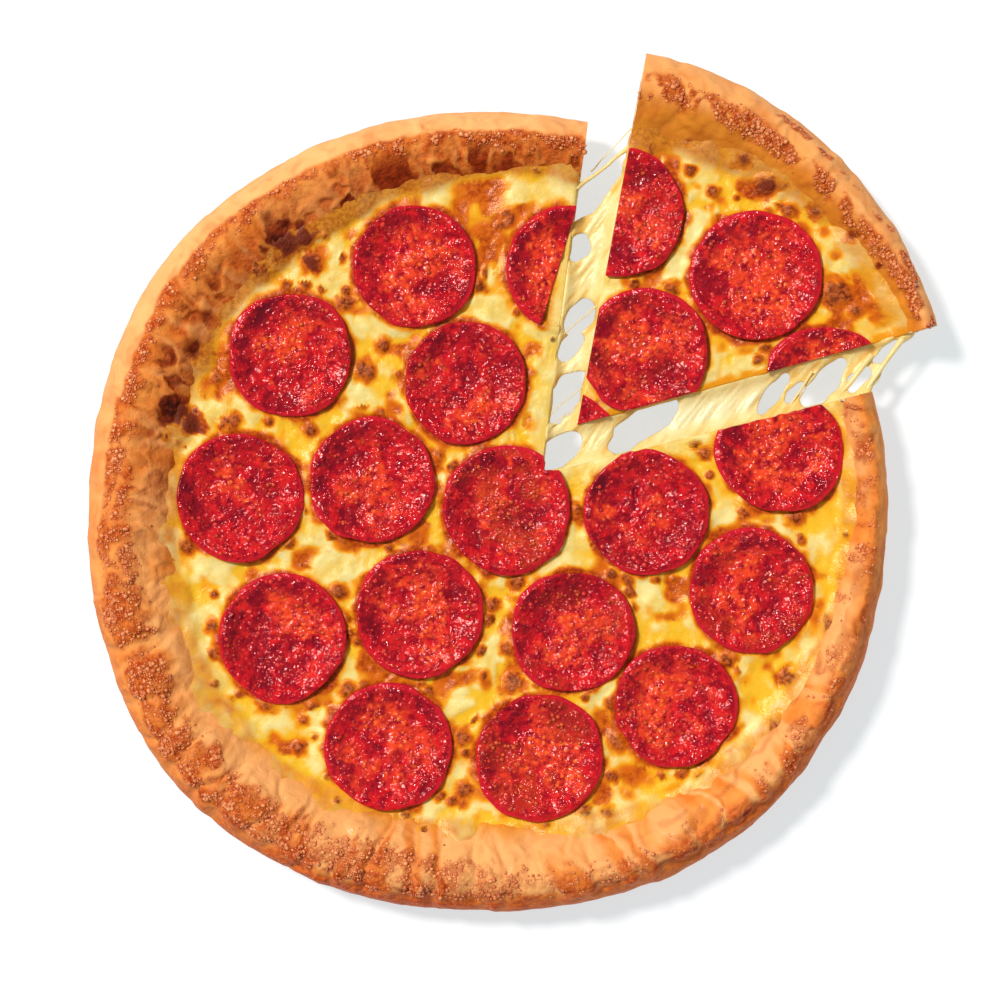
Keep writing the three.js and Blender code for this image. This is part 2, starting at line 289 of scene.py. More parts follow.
class Finish:
    """A material under construction: its node tree and the main shader."""

    def __init__(self, name, **constants):
        self.material = bpy.data.materials.new(name)
        self.material.use_nodes = True
        self.tree = self.material.node_tree
        self.shader = self.tree.nodes["Principled BSDF"]
        for socket, value in constants.items():
            self.shader.inputs[socket.replace("_", " ")].default_value = value
        self.place = self.node("ShaderNodeTexCoord", {}, {}, "Object")

    def node(self, kind, settings, inputs, output=0):
        """Adds one node: its settings first, then a value or a link for each named socket."""
        node = self.tree.nodes.new(kind)
        for key, value in settings.items():
            setattr(node, key, value)
        for key, value in inputs.items():
            if isinstance(value, Value):
                self.tree.links.new(value.socket, node.inputs[key])
            else:
                node.inputs[key].default_value = value
        return Value(self, node.outputs[output])

    def field(self, name):
        return self.node("ShaderNodeAttribute", {"attribute_name": name}, {}, "Fac")

    def cloud(self, size, detail=3.0, roughness=0.55, shift=0.0):
        """Noise with lumps of about this size in millimetres, from 0 to 1."""
        place = self.node("ShaderNodeMapping", {}, {"Vector": self.place, "Location": (shift, shift, shift)})
        sockets = {"Vector": place, "Scale": 1 / (size * MM), "Detail": detail, "Roughness": roughness}
        return self.node("ShaderNodeTexNoise", {}, sockets)

    def grains(self, size):
        """Distance to the nearest of scattered seeds about this many millimetres apart."""
        sockets = {"Vector": self.place, "Scale": 1 / (size * MM)}
        return self.node("ShaderNodeTexVoronoi", {"feature": "F1"}, sockets, "Distance")

    def blend(self, amount, first, second):
        """Colour that goes from first to second as amount goes from 0 to 1."""
        return self.node("ShaderNodeMix", {"data_type": "RGBA"}, {0: amount, 6: first, 7: second}, 2)

    def tones(self, amount, first, second, low=0.3, high=0.7):
        """Two colours, given by their display values, mixed by a smooth rise of amount."""
        return self.blend(amount.between(low, high), shade(*first), shade(*second))

    def layered(self, base, *layers):
        """A base colour with layers over it in turn, each laid on by its own amount."""
        for amount, colour in layers:
            base = self.blend(amount, base, colour)
        return base

    def drive(self, socket, value):
        self.tree.links.new(value.socket, self.shader.inputs[socket])

    def bump(self, height, distance_mm):
        sockets = {"Height": height, "Distance": distance_mm * MM, "Strength": 1.0}
        self.drive("Normal", self.node("ShaderNodeBump", {}, sockets, "Normal"))


def shade(red, green, blue):
    """A colour given by its display values from 0 to 255, as the linear colour that a shader takes."""
    parts = [part / 255 for part in (red, green, blue)]
    linear = [part / 12.92 if part <= 0.04045 else ((part + 0.055) / 1.055) ** 2.4 for part in parts]
    return (*linear, 1.0)


def crust_finish():
    """Baked dough: golden, with one layer over it for each thing that the oven did to the rim,
    and layers of painted shade in its hollows and at its foot at the upper left.
    """
    finish = Finish("baked_crust", IOR=1.42, Specular_IOR_Level=0.07, Coat_Roughness=0.2,
                    Coat_Tint=(1.0, 0.88, 0.72, 1.0))
    names = ("brown", "pale", "hollow", "bead", "char", "amber", "painted_foot_shade", "smooth", "knob")
    brown, pale, hollow, bead, char, amber, painted_foot_shade, smooth, knob = map(finish.field, names)
    wide, fine = finish.cloud(8.0), finish.cloud(1.7, 4.0, 0.6, 3.0)
    finish.drive("Base Color", finish.layered(
        finish.tones(wide, (230, 126, 46), (244, 154, 70)),
        (pale, shade(253, 184, 114)),
        (brown, finish.tones(fine, (228, 112, 42), (176, 62, 10))),
        (knob, finish.tones(fine, (232, 120, 60), (196, 78, 30), 0.35, 0.65)),
        (amber, finish.tones(wide, (232, 148, 44), (206, 112, 24))),
        # Painted shade where the rim's foot meets the cheese at the upper left.
        (painted_foot_shade, finish.tones(wide, (178, 96, 22), (140, 58, 8))),
        # Painted shade in the hollows of the rim's slope, its grooves and its shoulder.
        (hollow, finish.tones(fine, (160, 46, 6), (104, 20, 0))),
        (bead * (0.15 + 0.6 * fine.between(0.35, 0.6)), shade(162, 54, 14)),
        (char.between(0.0, 0.5), finish.tones(fine, (150, 54, 22), (96, 28, 12))),
        (char.between(0.55, 1.0) * fine.between(0.3, 0.5), shade(44, 14, 10)),
    ))
    finish.drive("Coat Weight", finish.field("wet") * 0.2)
    finish.drive("Roughness", 0.55 - 0.12 * brown)
    pimples = (1 - finish.grains(1.3).between(0.0, 0.8)) * (0.1 + 0.45 * brown)
    rough = 1 - 0.72 * smooth
    finish.bump((fine * 0.6 + finish.cloud(0.6, 2.0, 0.5, 9.0) * 0.2 + pimples) * rough, 0.6)
    return finish.material


def crumb_finish():
    """Bread where it is cut: pale with small pores that get painted shade, darker at the skin, red where
    sauce soaked in.
    """
    finish = Finish("bread_crumb", Roughness=0.85, IOR=1.35)
    pores, small = finish.grains(1.7), finish.cloud(0.8, 4.0)
    finish.drive("Base Color", finish.layered(
        # Darker towards the middle of each pore: painted shade in the holes.
        finish.tones(pores, (212, 172, 116), (240, 214, 166), 0.1, 0.55),
        (finish.field("skin"), shade(196, 122, 62)),
        (finish.field("soak"), shade(196, 84, 36)),
    ))
    finish.bump(pores.between(0.0, 0.5) * 0.7 + small * 0.4, 0.5)
    return finish.material


def cheese_finish():
    """Melted cheese: cream, then oil, browned patches with a ring hugging each disc that is partly painted
    contact shadow, the golden band and a painted shadow up the rim, toast and burns.
    """
    finish = Finish("melted_cheese", IOR=1.42, Specular_IOR_Level=0.4, Subsurface_Weight=0.1,
                    Subsurface_Scale=0.003, Subsurface_Radius=(1.0, 0.75, 0.4),
                    Specular_Tint=(1.0, 0.82, 0.6, 1.0))
    names = ("oil", "orange", "amber", "toast", "char", "painted_rim_shadow", "rust")
    oil, orange, amber, toast, char, painted_rim_shadow, rust = map(finish.field, names)
    wide, fine = finish.cloud(7.0, 3.0), finish.cloud(1.3, 3.0, 0.6, 5.0)
    finish.drive("Base Color", finish.layered(
        finish.tones(wide, (236, 200, 98), (242, 222, 144), 0.35, 0.65),
        (oil, shade(242, 186, 30)),
        (orange.between(0.0, 0.55), shade(240, 162, 22)),
        (orange.between(0.4, 1.0), shade(214, 98, 12)),
        # Brown near the discs and in patches: browned fat, and painted contact shadow in the ring that hugs
        # each disc.
        (rust * fine.between(0.3, 0.6), shade(156, 48, 6)),
        (amber, finish.tones(wide, (232, 148, 44), (206, 112, 24))),
        # Painted shadow of the rim on the cheese beside it, mostly at the upper left.
        (painted_rim_shadow, finish.tones(fine, (206, 124, 34), (156, 72, 10), 0.35, 0.65)),
        (toast, finish.tones(fine, (194, 92, 36), (96, 26, 4), 0.35, 0.65)),
        (char.between(0.0, 0.5), shade(118, 38, 16)),
        (char.between(0.55, 1.0) * fine.between(0.35, 0.6), shade(56, 16, 6)),
    ))
    finish.drive("Roughness", 0.34 - 0.1 * oil + 0.22 * toast + 0.3 * char)
    finish.bump(fine * (0.6 + 0.8 * toast + 1.6 * char) + finish.cloud(0.5, 2.0) * 0.15, 0.35)
    return finish.material


def web_finish():
    """Stretched cheese: cream, golden along the streaks of the pull, paler where it is thin."""
    finish = Finish("stretched_cheese", Roughness=0.3, IOR=1.42, Subsurface_Weight=0.25,
                    Subsurface_Scale=0.003, Subsurface_Radius=(1.0, 0.8, 0.45))
    thin, streak, wide = finish.field("thin"), finish.field("streak"), finish.cloud(6.0, 3.0)
    finish.drive("Base Color", finish.layered(
        finish.tones(wide, (246, 206, 116), (252, 226, 150)),
        (streak * 0.55, shade(238, 172, 60)),
        (thin, shade(248, 230, 176)),
    ))
    finish.bump(finish.cloud(1.0, 3.0), 0.2)
    return finish.material


def pepperoni_finish():
    """Cured sausage: mottled red meat with fat, flecks and specks, crumbs, a bright edge, and painted shade
    on the cup's upper left slope.
    """
    finish = Finish("cured_sausage", IOR=1.45, Specular_IOR_Level=0.6, Specular_Tint=(1.0, 0.5, 0.46, 1.0))
    dark, fat, edge, rust = map(finish.field, ("dark", "fat", "edge", "rust"))
    mid, fine = finish.cloud(2.6, 3.0, 0.6, 2.0), finish.cloud(0.7, 3.0, 0.65, 4.0)
    broad = finish.cloud(6.5, 2.0, 0.5, 12.0)
    finish.drive("Base Color", finish.layered(
        finish.tones(mid, (154, 0, 28), (216, 22, 32), 0.36, 0.62),
        (fat * mid.between(0.32, 0.6), shade(240, 68, 34)),
        (fat * (1 - finish.grains(2.1).between(0.16, 0.4)), shade(250, 106, 40)),
        ((1 - finish.grains(1.4).between(0.1, 0.3)) * fine.between(0.42, 0.6) * 0.7, shade(248, 110, 96)),
        (rust * fine.between(0.3, 0.6) * 0.8, shade(176, 44, 24)),
        (edge * 0.8, shade(208, 24, 44)),
        # Painted shade on the cup's upper left slope, and darker where the top lies low.
        (dark, shade(96, 0, 26)),
    ))
    finish.drive("Roughness", 0.24 - 0.14 * broad.between(0.4, 0.6))
    lively = 0.5 + 0.7 * broad.between(0.4, 0.62)
    finish.bump((finish.cloud(1.2, 0.5, 0.5, 6.0) + finish.cloud(0.6, 0.0, 0.5, 8.0) * 0.25) * lively, 0.62)
    return finish.material


def bubble_finish():
    """Blisters of fat on the sausage: small, red and wet, with a painted pink highlight at the tip."""
    finish = Finish("fat_bubbles", Roughness=0.1, IOR=1.45, Specular_IOR_Level=0.8,
                    Specular_Tint=(1.0, 0.62, 0.58, 1.0))
    red = finish.tones(finish.cloud(5.0), (176, 4, 30), (224, 50, 40), 0.35, 0.65)
    # Pinker towards the tip: a painted highlight.
    finish.drive("Base Color", finish.blend(finish.field("tip_highlight") * 0.4, red, shade(246, 96, 78)))
    return finish.material


def grain_finish(name, light, dark):
    """For scattered grains and blisters: a painted highlight at the tip and painted shade where they sit."""
    finish = Finish(name, Roughness=0.36, IOR=1.45)
    # Dark at the foot to light at the tip: painted shade and highlight.
    finish.drive("Base Color", finish.blend(finish.field("tip_highlight"), dark, light))
    finish.bump(finish.cloud(0.5), 0.1)
    return finish.material


# ---- Outline and rim ----------------------------------------------------------------------------

def outline(angle):
    """A circle drawn out in four places, most at the lower left."""
    swing = 1.5 + 0.9 * np.cos(angle - math.radians(230))
    return OUTLINE_RADIUS + swing * np.cos(4 * (angle - math.radians(224)))


def rim_width(angle):
    """Wide at the left, narrow at the right."""
    return 23.5 - 8.5 * np.cos(angle - math.radians(25)) + 2.5 * np.cos(2 * (angle - math.radians(110)))


def slice_share(angle):
    return (angle - math.radians(SLICE_DEG[0])) / math.radians(SLICE_DEG[1] - SLICE_DEG[0])


def slice_outline(angle):
    return SLICE_RADIUS + 1.6 * (slice_share(angle) - 0.5)


def slice_rim_width(angle):
    return 11.8 + 18.4 * slice_share(angle)


def smooth_rows(table, places):
    """A smooth curve through the rows of a table, a Catmull-Rom spline, read at places counted in rows."""
    last = len(table) - 1
    number = np.minimum(places.astype(int), last - 1)
    part = (places - number)[:, None]
    p0, p1 = table[np.maximum(number - 1, 0)], table[number]
    p2, p3 = table[number + 1], table[np.minimum(number + 2, last)]
    return 0.5 * (
        2 * p1 + (p2 - p0) * part + (2 * p0 - 5 * p1 + 4 * p2 - p3) * part ** 2
        + (3 * p1 - p0 - 3 * p2 + p3) * part ** 3
    )


def section_places(rows):
    """Places along the rim's section that lie evenly by length, for the usual rim width."""
    fine = np.linspace(0, len(RIM_SECTION) - 1, 600)
    inset, share, rise = smooth_rows(RIM_SECTION, fine).T
    crest = CREST_HEIGHT + CREST_PER_WIDTH * USUAL_WIDTH
    run = np.hypot(np.diff(inset + share * USUAL_WIDTH), np.diff(rise * crest))
    length = np.concatenate([[0], np.cumsum(run)])
    return np.interp(np.linspace(0, length[-1], rows), length, fine)


def cut_angle(radius, degrees):
    """The angle at which a circle about the origin meets a cut that leaves the notch's corner."""
    way = heading(degrees)
    along = NOTCH_CORNER @ way
    length = np.sqrt(np.maximum(along ** 2 - NOTCH_CORNER @ NOTCH_CORNER + radius ** 2, 0)) - along
    x = NOTCH_CORNER[0] + way[0] * length
    y = NOTCH_CORNER[1] + way[1] * length
    return np.arctan2(y, x)


class LargePiece:
    """The pizza round to the notch. A ring starts on the left cut and ends on the right cut."""
    hub = np.array([0.0, 0.0])
    corner = NOTCH_CORNER
    cuts = (NOTCH_DEG[1], NOTCH_DEG[0])
    outline = staticmethod(outline)
    rim_width = staticmethod(rim_width)
    unfolded = OUTLINE_RADIUS

    @staticmethod
    def angles(radius_at, columns):
        """Angles of one ring, evenly from cut to cut. Both ends are found by repeats."""
        first, last = math.radians(NOTCH_DEG[1]), math.radians(NOTCH_DEG[0])
        for _ in range(8):
            first = float(cut_angle(radius_at(np.array(first)), NOTCH_DEG[1]))
            last = float(cut_angle(radius_at(np.array(last)), NOTCH_DEG[0]))
        return np.linspace(first, last + 2 * math.pi, columns)

    @staticmethod
    def spot(radius, angle):
        return radius * np.cos(angle), radius * np.sin(angle)


class PulledSlice:
    """The slice. Its rings are arcs about its own tip, from its lower edge to its left edge."""
    hub = SLICE_TIP + 70 * heading(sum(SLICE_DEG) / 2)
    corner = SLICE_TIP
    cuts = SLICE_DEG
    outline = staticmethod(slice_outline)
    rim_width = staticmethod(slice_rim_width)
    unfolded = SLICE_RADIUS

    @staticmethod
    def angles(radius_at, columns):
        return np.linspace(math.radians(SLICE_DEG[0]), math.radians(SLICE_DEG[1]), columns)

    @staticmethod
    def spot(radius, angle):
        return SLICE_TIP[0] + radius * np.cos(angle), SLICE_TIP[1] + radius * np.sin(angle)


def sector(angle, middle_deg, half_deg):
    """1 round one direction, fading to 0 at half_deg away from it."""
    away = np.abs((angle - math.radians(middle_deg) + math.pi) % (2 * math.pi) - math.pi)
    return 1 - step(0.4 * math.radians(half_deg), math.radians(half_deg), away)


# Distance across the rim, from its outermost line, at each row of its section.
ACROSS = [-22, -11, -7, -4, 1, 6, 12, 19, 24, 28]


def slice_strings(arc, inset, share):
    """Blister patches of the slice's rim: one string of slanted patches inside the crest and a thin
    one near the edge at the right."""
    middle = 5.0 + 6.5 * step(0.0, 0.4, share)
    ragged = fractal(planar(arc, inset), 2.4, 2, 45)
    slanted = noise(planar(arc + 1.1 * inset, 0.15 * inset), 4.8, 47) + 0.45 * ragged
    main = np.exp(-((inset - middle) / (2.3 + 2.5 * share)) ** 2) * step(-0.6, 0.25, slanted)
    broken = noise(planar(arc - 0.6 * inset, 0.2 * inset), 3.4, 49) + 0.4 * ragged
    thin = np.exp(-((inset - 3.1) / 1.1) ** 2) * step(-0.5, 0.4, broken) * (1 - step(0.6, 0.75, share))
    return np.maximum(step(0.1, 0.85, main), 0.85 * step(0.1, 0.9, thin))


def rim_marks(part, angle, place):
    """What the oven did to the rim at every point of its section, and where light and shade are painted
    on it. Creases run across it between jittered cells of the way along it. Its inner slope is a net
    of low ridges round small hollows, which long ridges along the rim replace at the narrow side.
    Blisters sit in patches on the crest, in a band that is thin at the top and wide at the lower left.
    Painted shade darkens the hollows and the foot at the upper left, and adds to the browning of the
    upper inner slope and of the outer wall at the lower right; the outer band is painted paler at the
    top, and the ridges of the upper slope keep a painted highlight."""
    width = part.rim_width(angle)
    section = smooth_rows(RIM_SECTION, place)
    inset = section[:, 0] + section[:, 1] * width
    across = np.interp(place, np.arange(len(RIM_SECTION)), ACROSS)
    across = across * np.where(across > 0, width / USUAL_WIDTH, 1)
    large = part is LargePiece
    arc = angle * part.unfolded + (0 if large else 900)
    left = 0.5 - 0.5 * np.cos(angle - math.radians(25)) if large else 0.3 + 0 * angle
    upper = sector(angle, 120, 75) if large else 0.5 + 0 * angle
    right = sector(angle, -20, 70) if large else 0 * angle
    lower = sector(angle, 265, 75) if large else 0 * angle
    low_left = sector(angle, 220, 70) if large else 0 * angle
    base = planar(arc, across)
    drift, shiver = shifts(base, 11.0, 1), shifts(base, 3.6, 3)
    warped = base + 3.4 * drift + 1.1 * shiver
    from_crease = from_border(planar(warped[:, 0], 0.22 * warped[:, 1]), 15.5, 11)
    crease = np.exp(-(from_crease / 1.3) ** 2)
    swell = fractal(base, 20.0, 2, 21)
    lumps = fractal(warped, 6.5, 2, 25)
    wrinkle = fractal(warped, 3.4, 2, 31)
    folds = fractal(planar(arc, 0.55 * across) + 2.6 * drift + 1.2 * shiver, 5.4, 2, 34)
    net_ridge = 1 - step(0.0, 0.6 * 5.6 / 2, from_border(warped, 5.6, 33))
    ridge = np.where(upper > 0.4, 1 - step(0.0, 0.5, np.abs(folds)), net_ridge)
    long_ridge = noise(planar(arc / 18 + 1.5 * drift[:, 0], warped[:, 1] / 2.1), 1.0, 35)

    on_top = step(1.6, 3.4, place) * (1 - step(8.3, 9.0, place))
    slope = step(5.0, 6.3, place + 0.3 * swell)
    near_cheese = step(6.6, 7.9, place + 0.35 * lumps)
    strength = (0.3 + 0.7 * left + 0.2 * lower) * (1 - 0.65 * upper)
    net = slope * (1 - right) * (1.0 if large else 0.15)
    lump = -0.95 * strength * crease + 0.5 * step(0, 4.5, from_crease) * left
    lump += 0.7 * swell + 0.4 * lumps + (0.16 + 0.25 * low_left + 0.2 * upper) * wrinkle
    lump += net * (0.5 + 0.45 * upper) * (ridge - 0.5) + right * 0.5 * long_ridge
    knuckled = sector(angle, 282, 80) * large
    from_knuckle = from_border(planar(warped[:, 0] + 0.25 * inset, 0 * arc), 12.0, 13)
    plateau = step(0.5, 1.7, from_knuckle) * step(2.8, 4.2, inset + 0.5 * wrinkle)
    plateau = plateau * (1 - step(8.0, 10.5, inset + 1.4 * lumps))
    lump += knuckled * 0.8 * (plateau - 0.5) * step(1.5, 3.0, inset) * (1 - slope)
    lump = on_top * lump + (1 - on_top) * (0.4 * swell + 0.2 * lumps) * step(0.0, 1.0, place)
    lump *= (1 - 0.85 * step(5.8, 7.4, place)) * (1 - step(8.6, 9.0, place))

    above = step(2.2, 2.8, place)
    start = 4.2 + 3.0 * upper + 0.9 * lumps
    length = 7.0 + 5.0 * low_left + 2.0 * lower - 3.4 * upper + 2.4 * wrinkle
    end = start + length
    band = above * step(start - 0.9, start + 0.9, inset) * (1 - step(end - 1.8, end + 1.8, inset))
    patch = 0.6 + 0.6 * fractal(warped, 4.2, 3, 41) - 0.25 * crease * left
    patch += 0.2 * left + 0.1 * upper - 0.35 * right
    bead = band * step(0.0, 1.0, patch) * (1 - 0.35 * lower * (1 - low_left))
    if not large:
        bead = above * slice_strings(arc, inset + 0.6 * lumps, slice_share(angle))
        band = bead
    underside = sector(angle, 290, 85) * large
    brown = 0.85 * band * (0.3 + 0.7 * step(0.0, 0.9, patch))
    brown *= 1 - 0.6 * np.maximum(lower, right) * (1 - low_left)
    # Browner on the upper inner slope: partly toasting, partly painted shade on a slope that faces away from
    # the light.
    brown += (0.75 * slope + 0.1) * upper * large
    # Browner outer wall at the lower right: partly baked colour, partly painted shade on the side away from
    # the light.
    brown += 0.75 * underside * (1 - step(5.0, 6.5, inset + 0.8 * lumps) * above)
    brown += 0.45 * low_left * (1 - above * step(2.0, 4.5, inset))
    knob = 0.8 * knuckled * plateau * above * (0.8 + 0.4 * wrinkle) * (1 - 0.7 * slope)
    brown -= 0.7 * knuckled * (1 - step(0.4, 1.6, from_knuckle)) * above * step(3.0, 5.0, inset)
    stain = step(0.15, 0.7, fractal(warped, 5.0, 2, 43) + 0.1 * wrinkle)
    brown += 0.3 * stain * step(1.5, 4.0, inset) * above * np.maximum(upper, left) * (1 - slope)
    brown = np.clip(brown - 0.35 * crease * left, 0, 1)
    # Painted shade: darker in the hollows of the slope's net, most on the upper side, between the long
    # ridges at the right and along the shoulder at the lower right.
    hollow = net * (0.12 + 0.75 * upper) * step(0.3, 0.9, 1 - ridge) * step(-0.2, 0.6, folds + 0.5 * wrinkle)
    hollow += right * 0.3 * step(0.35, 0.8, -long_ridge) * on_top
    shoulder = np.exp(-((inset - 5.6 - 0.9 * lumps) / 0.8) ** 2) * above
    hollow += 0.75 * shoulder * underside * step(-0.3, 0.3, wrinkle + 0.5 * swell)
    outer = 1 - step(start - 1.0, start + 0.6, inset) * above
    # The outer band is pale in its own colour, and painted paler still at the top, on the side that faces
    # the light: painted light.
    pale = outer * (1 - 0.8 * underside) * (0.65 + 0.35 * above) * (0.2 + 0.7 * upper + 0.15 * wrinkle)
    pale = np.maximum(pale, crease * left * (0.25 + 0.35 * slope) * above)
    # Painted highlight: ridges of the upper inner slope lose the brown and stay golden.
    ridge_highlight = slope * upper * large * step(0.3, 0.8, ridge + 0.5 * wrinkle)
    brown = brown * (1 - 0.9 * ridge_highlight)
    seam = knuckled * (1 - step(0.5, 1.7, from_knuckle)) * above * step(4.0, 6.0, inset)
    pale = np.maximum(pale, 0.8 * seam)
    pale = np.maximum(pale, 0.8 * slope * (1 - upper) * step(-0.3, 0.6, swell + 0.5 * lumps) * large)
    if not large:
        pale = np.maximum(pale, (0.5 + 0.2 * wrinkle) * (1 - bead) * (1 - slope))
        brown = np.maximum(brown, 0.7 * step(0.0, 0.6, bead))
    upper_left = sector(angle, 140, 85) if large else 0.3 + 0 * angle
    amber = near_cheese * (1 - upper_left) if large else 0.85 * slope
    # Painted shade at the rim's foot where it meets the cheese: at the upper left of the large piece, along
    # the whole slice at half strength.
    painted_foot_shade = 0.9 * near_cheese * upper_left if large else 0.5 * near_cheese
    smooth = np.maximum(0.7 * slope, outer) * (1 - 0.5 * low_left) if large else 1 - bead
    wet = slope * np.maximum(upper, 0.6 * left) if large else 0.5 * slope
    fields = {"brown": brown, "pale": pale, "hollow": hollow, "bead": bead, "amber": amber, "painted_foot_shade": painted_foot_shade,
              "smooth": smooth, "wet": wet, "knob": knob}
    fields = {key: np.clip(values + 0 * angle, 0, 1) for key, values in fields.items()}
    return lump, fields


# Middle, radius and depth of each burnt spot, where the filling meets the rim.
BURNT_SPOTS = [
    (-99.5, 33.5, 5.0, 0.9), (-94.5, 29.0, 4.2, 0.7), (-64.5, 86.5, 5.2, 0.9), (-58.5, 89.0, 3.6, 0.7),
    (-93.0, 53.0, 3.2, 0.5), (-55.7, 80.5, 3.0, 0.62), (-89.0, 63.0, 2.4, 0.4), (-70.0, 94.0, 2.6, 0.4),
    (64.6, 118.9, 2.0, 0.35), (82.2, 113.1, 2.6, 0.45), (105.3, 96.5, 2.7, 0.45), (116.8, 89.1, 2.4, 0.45),
    (125.4, 79.2, 1.5, 0.8), (90.2, 104.5, 4.2, 0.5),
]


def spot_mask(x, y, spots, seed):
    """The depth inside round spots with ragged edges, fading outwards from their middles."""
    ragged = 1 + 0.5 * fractal(planar(x, y), 3.0, 3, seed).reshape(np.shape(x))
    mask = np.zeros(np.shape(x))
    for sx, sy, radius, depth in spots:
        reach = np.hypot(x - sx, y - sy) / radius * ragged
        mask = np.maximum(mask, depth * (1 - step(0.0, 1.4, reach)))
    return mask


def rim_points(part, columns, rows):
    """The rim's surface: the section carried round the outline from cut to cut, then pushed along
    its normals by the lumps. Rows run from the foot over the crest to the bread under the cheese."""
    places = section_places(rows)
    table = smooth_rows(RIM_SECTION, places)
    points = np.zeros((rows, columns, 3))
    angles = np.zeros((rows, columns))
    for row, (inset, share, rise) in enumerate(table):
        def radius_at(angle):
            return part.outline(angle) - inset - share * part.rim_width(angle)
        angle = part.angles(radius_at, columns)
        x, y = part.spot(radius_at(angle), angle)
        crest = CREST_HEIGHT + CREST_PER_WIDTH * part.rim_width(angle)
        points[row] = np.stack([x, y, np.maximum(rise * crest, 0)], axis=1)
        angles[row] = angle
    place = np.repeat(places, columns)
    lump, fields = rim_marks(part, angles.ravel(), place)
    normal = grid_normals(points)
    for column, degrees in ((0, part.cuts[0]), (-1, part.cuts[1])):
        side = np.array([-heading(degrees)[1], heading(degrees)[0], 0.0])
        normal[:, column] -= (normal[:, column] @ side)[:, None] * side
    flat = points.reshape(-1, 3)
    bubble, _, _ = cells(flat, 2.7, 123)
    char = spot_mask(flat[:, 0], flat[:, 1], BURNT_SPOTS, 81) * step(17, 19, flat[:, 2])
    lump = lump + char * 1.5 * (0.5 - bubble)
    points = points + normal * lump.reshape(rows, columns, 1)
    points[:, :, 2] = np.maximum(points[:, :, 2], 0)
    points[0, :, 2] = 0
    points[-1, :, 2] = BREAD_HEIGHT
    return points, normal, fields


class Points:
    """A growing list of vertices that hands out their numbers."""

    def __init__(self):
        self.blocks = []
        self.count = 0

    def add(self, block):
        shape = block.shape[:-1]
        self.blocks.append(block.reshape(-1, 3))
        numbers = np.arange(self.count, self.count + len(self.blocks[-1])).reshape(shape)
        self.count += numbers.size
        return numbers

    def all(self):
        return np.concatenate(self.blocks)


def even_line(start, end, count, height):
    """Points evenly between two others, both left out, at one height."""
    part = np.linspace(0, 1, count + 2)[1:-1, None]
    line = start[None, :] * (1 - part) + end[None, :] * part
    line[:, 2] = height
    return line


def crust_piece(part, node, columns, rows, finishes):
    """Bread: the rim's surface, a flat floor and underside fanned from a hub, and on each cut a flat
    section with open pores, laid between the path along its top and the path along its bottom."""
    across = 18
    floor_count = 64
    wide_row = int(np.argmin(np.abs(section_places(rows) - 2.0)))
    rim, normal, marks = rim_points(part, columns, rows)
    store = Points()
    grid = store.add(rim)
    hub_low = store.add(np.array([[*part.hub, 0.0]]))[0]
    hub_top = store.add(np.array([[*part.hub, BREAD_HEIGHT]]))[0]
    tip_low = store.add(np.array([[*part.corner, 0.0]]))[0]
    tip_top = store.add(np.array([[*part.corner, BREAD_HEIGHT]]))[0]
    corner = np.array([*part.corner, 0.0])
    top_count = floor_count + rows - 1 - wide_row
    low_count = top_count - wide_row
    skins = [(grid_quads(grid), 0)]
    low_lines, top_lines = [], []
    for column in (0, columns - 1):
        top_line = store.add(even_line(corner, rim[-1, column], floor_count, BREAD_HEIGHT))
        low_line = store.add(even_line(corner, rim[0, column], low_count, 0.0))
        top_path = np.concatenate([[tip_top], top_line, grid[wide_row:, column][::-1]])
        low_path = np.concatenate([[tip_low], low_line, grid[:wide_row + 1, column]])
        placed = store.all()
        high, low = placed[top_path], placed[low_path]
        share = np.linspace(0, 1, across + 1)[1:-1, None, None]
        inner = (low[None] * (1 - share) + high[None] * share)[:, 1:-1]
        degrees = part.cuts[0] if column == 0 else part.cuts[1]
        into = np.array([-heading(degrees)[1], heading(degrees)[0], 0.0])
        toward = np.array([*part.hub, 0.0]) - corner
        into = into * np.sign(into @ toward)
        flat = inner.reshape(-1, 3)
        hollow, _, _ = cells(flat, 2.6, 71)
        rough = 0.9 * (1 - step(0.15, 0.55, hollow)) + 0.35 * (noise(flat, 1.6, 73) + 1)
        inner = inner + (rough.reshape(inner.shape[:2]) * 0.8)[..., None] * into
        block = store.add(inner)
        middle = np.concatenate([low_path[None, 1:-1], block, top_path[None, 1:-1]])
        left_end = np.full((across + 1, 1), tip_low)
        left_end[-1] = tip_top
        if column == 0:
            tips = store.add(np.stack([corner + [0, 0, BREAD_HEIGHT * s] for s in share.ravel()]))
        left_end[1:-1, 0] = tips
        right_end = np.full((across + 1, 1), top_path[-1])
        cap = np.concatenate([left_end, middle, right_end], axis=1)
        quads = grid_quads(cap)
        skins.append((quads if column == 0 else quads[:, ::-1], 1))
        low_lines.append(low_line)
        top_lines.append(top_line)
    low_ring = np.concatenate([[tip_low], low_lines[0], grid[0], low_lines[1][::-1], [tip_low]])
    top_ring = np.concatenate([[tip_top], top_lines[0], grid[-1], top_lines[1][::-1], [tip_top]])
    skins.append((fan(hub_low, low_ring)[:, ::-1], 0))
    skins.append((fan(hub_top, top_ring), 0))
    points = store.all()
    extra = len(points) - grid.size
    fields = {key: np.concatenate([values, np.zeros(extra)]) for key, values in marks.items()}
    char = spot_mask(points[:, 0], points[:, 1], BURNT_SPOTS, 81) * step(17, 19, points[:, 2])
    fields["char"] = char
    from_top = BREAD_HEIGHT - points[:, 2]
    fields["soak"] = (1 - step(0.2, 1.8, from_top + 0.5 * noise(points, 3.0, 83))) * (from_top > -0.5)
    fields["skin"] = 1 - step(0.3, 1.6, points[:, 2])
    add_piece("baked_" + node, points, skins, finishes, fields, [node], sharp_deg=55)
    return rim.reshape(-1, 3), normal.reshape(-1, 3), marks["bead"]


# ---- Pepperoni places ----------------------------------------------------------------------------

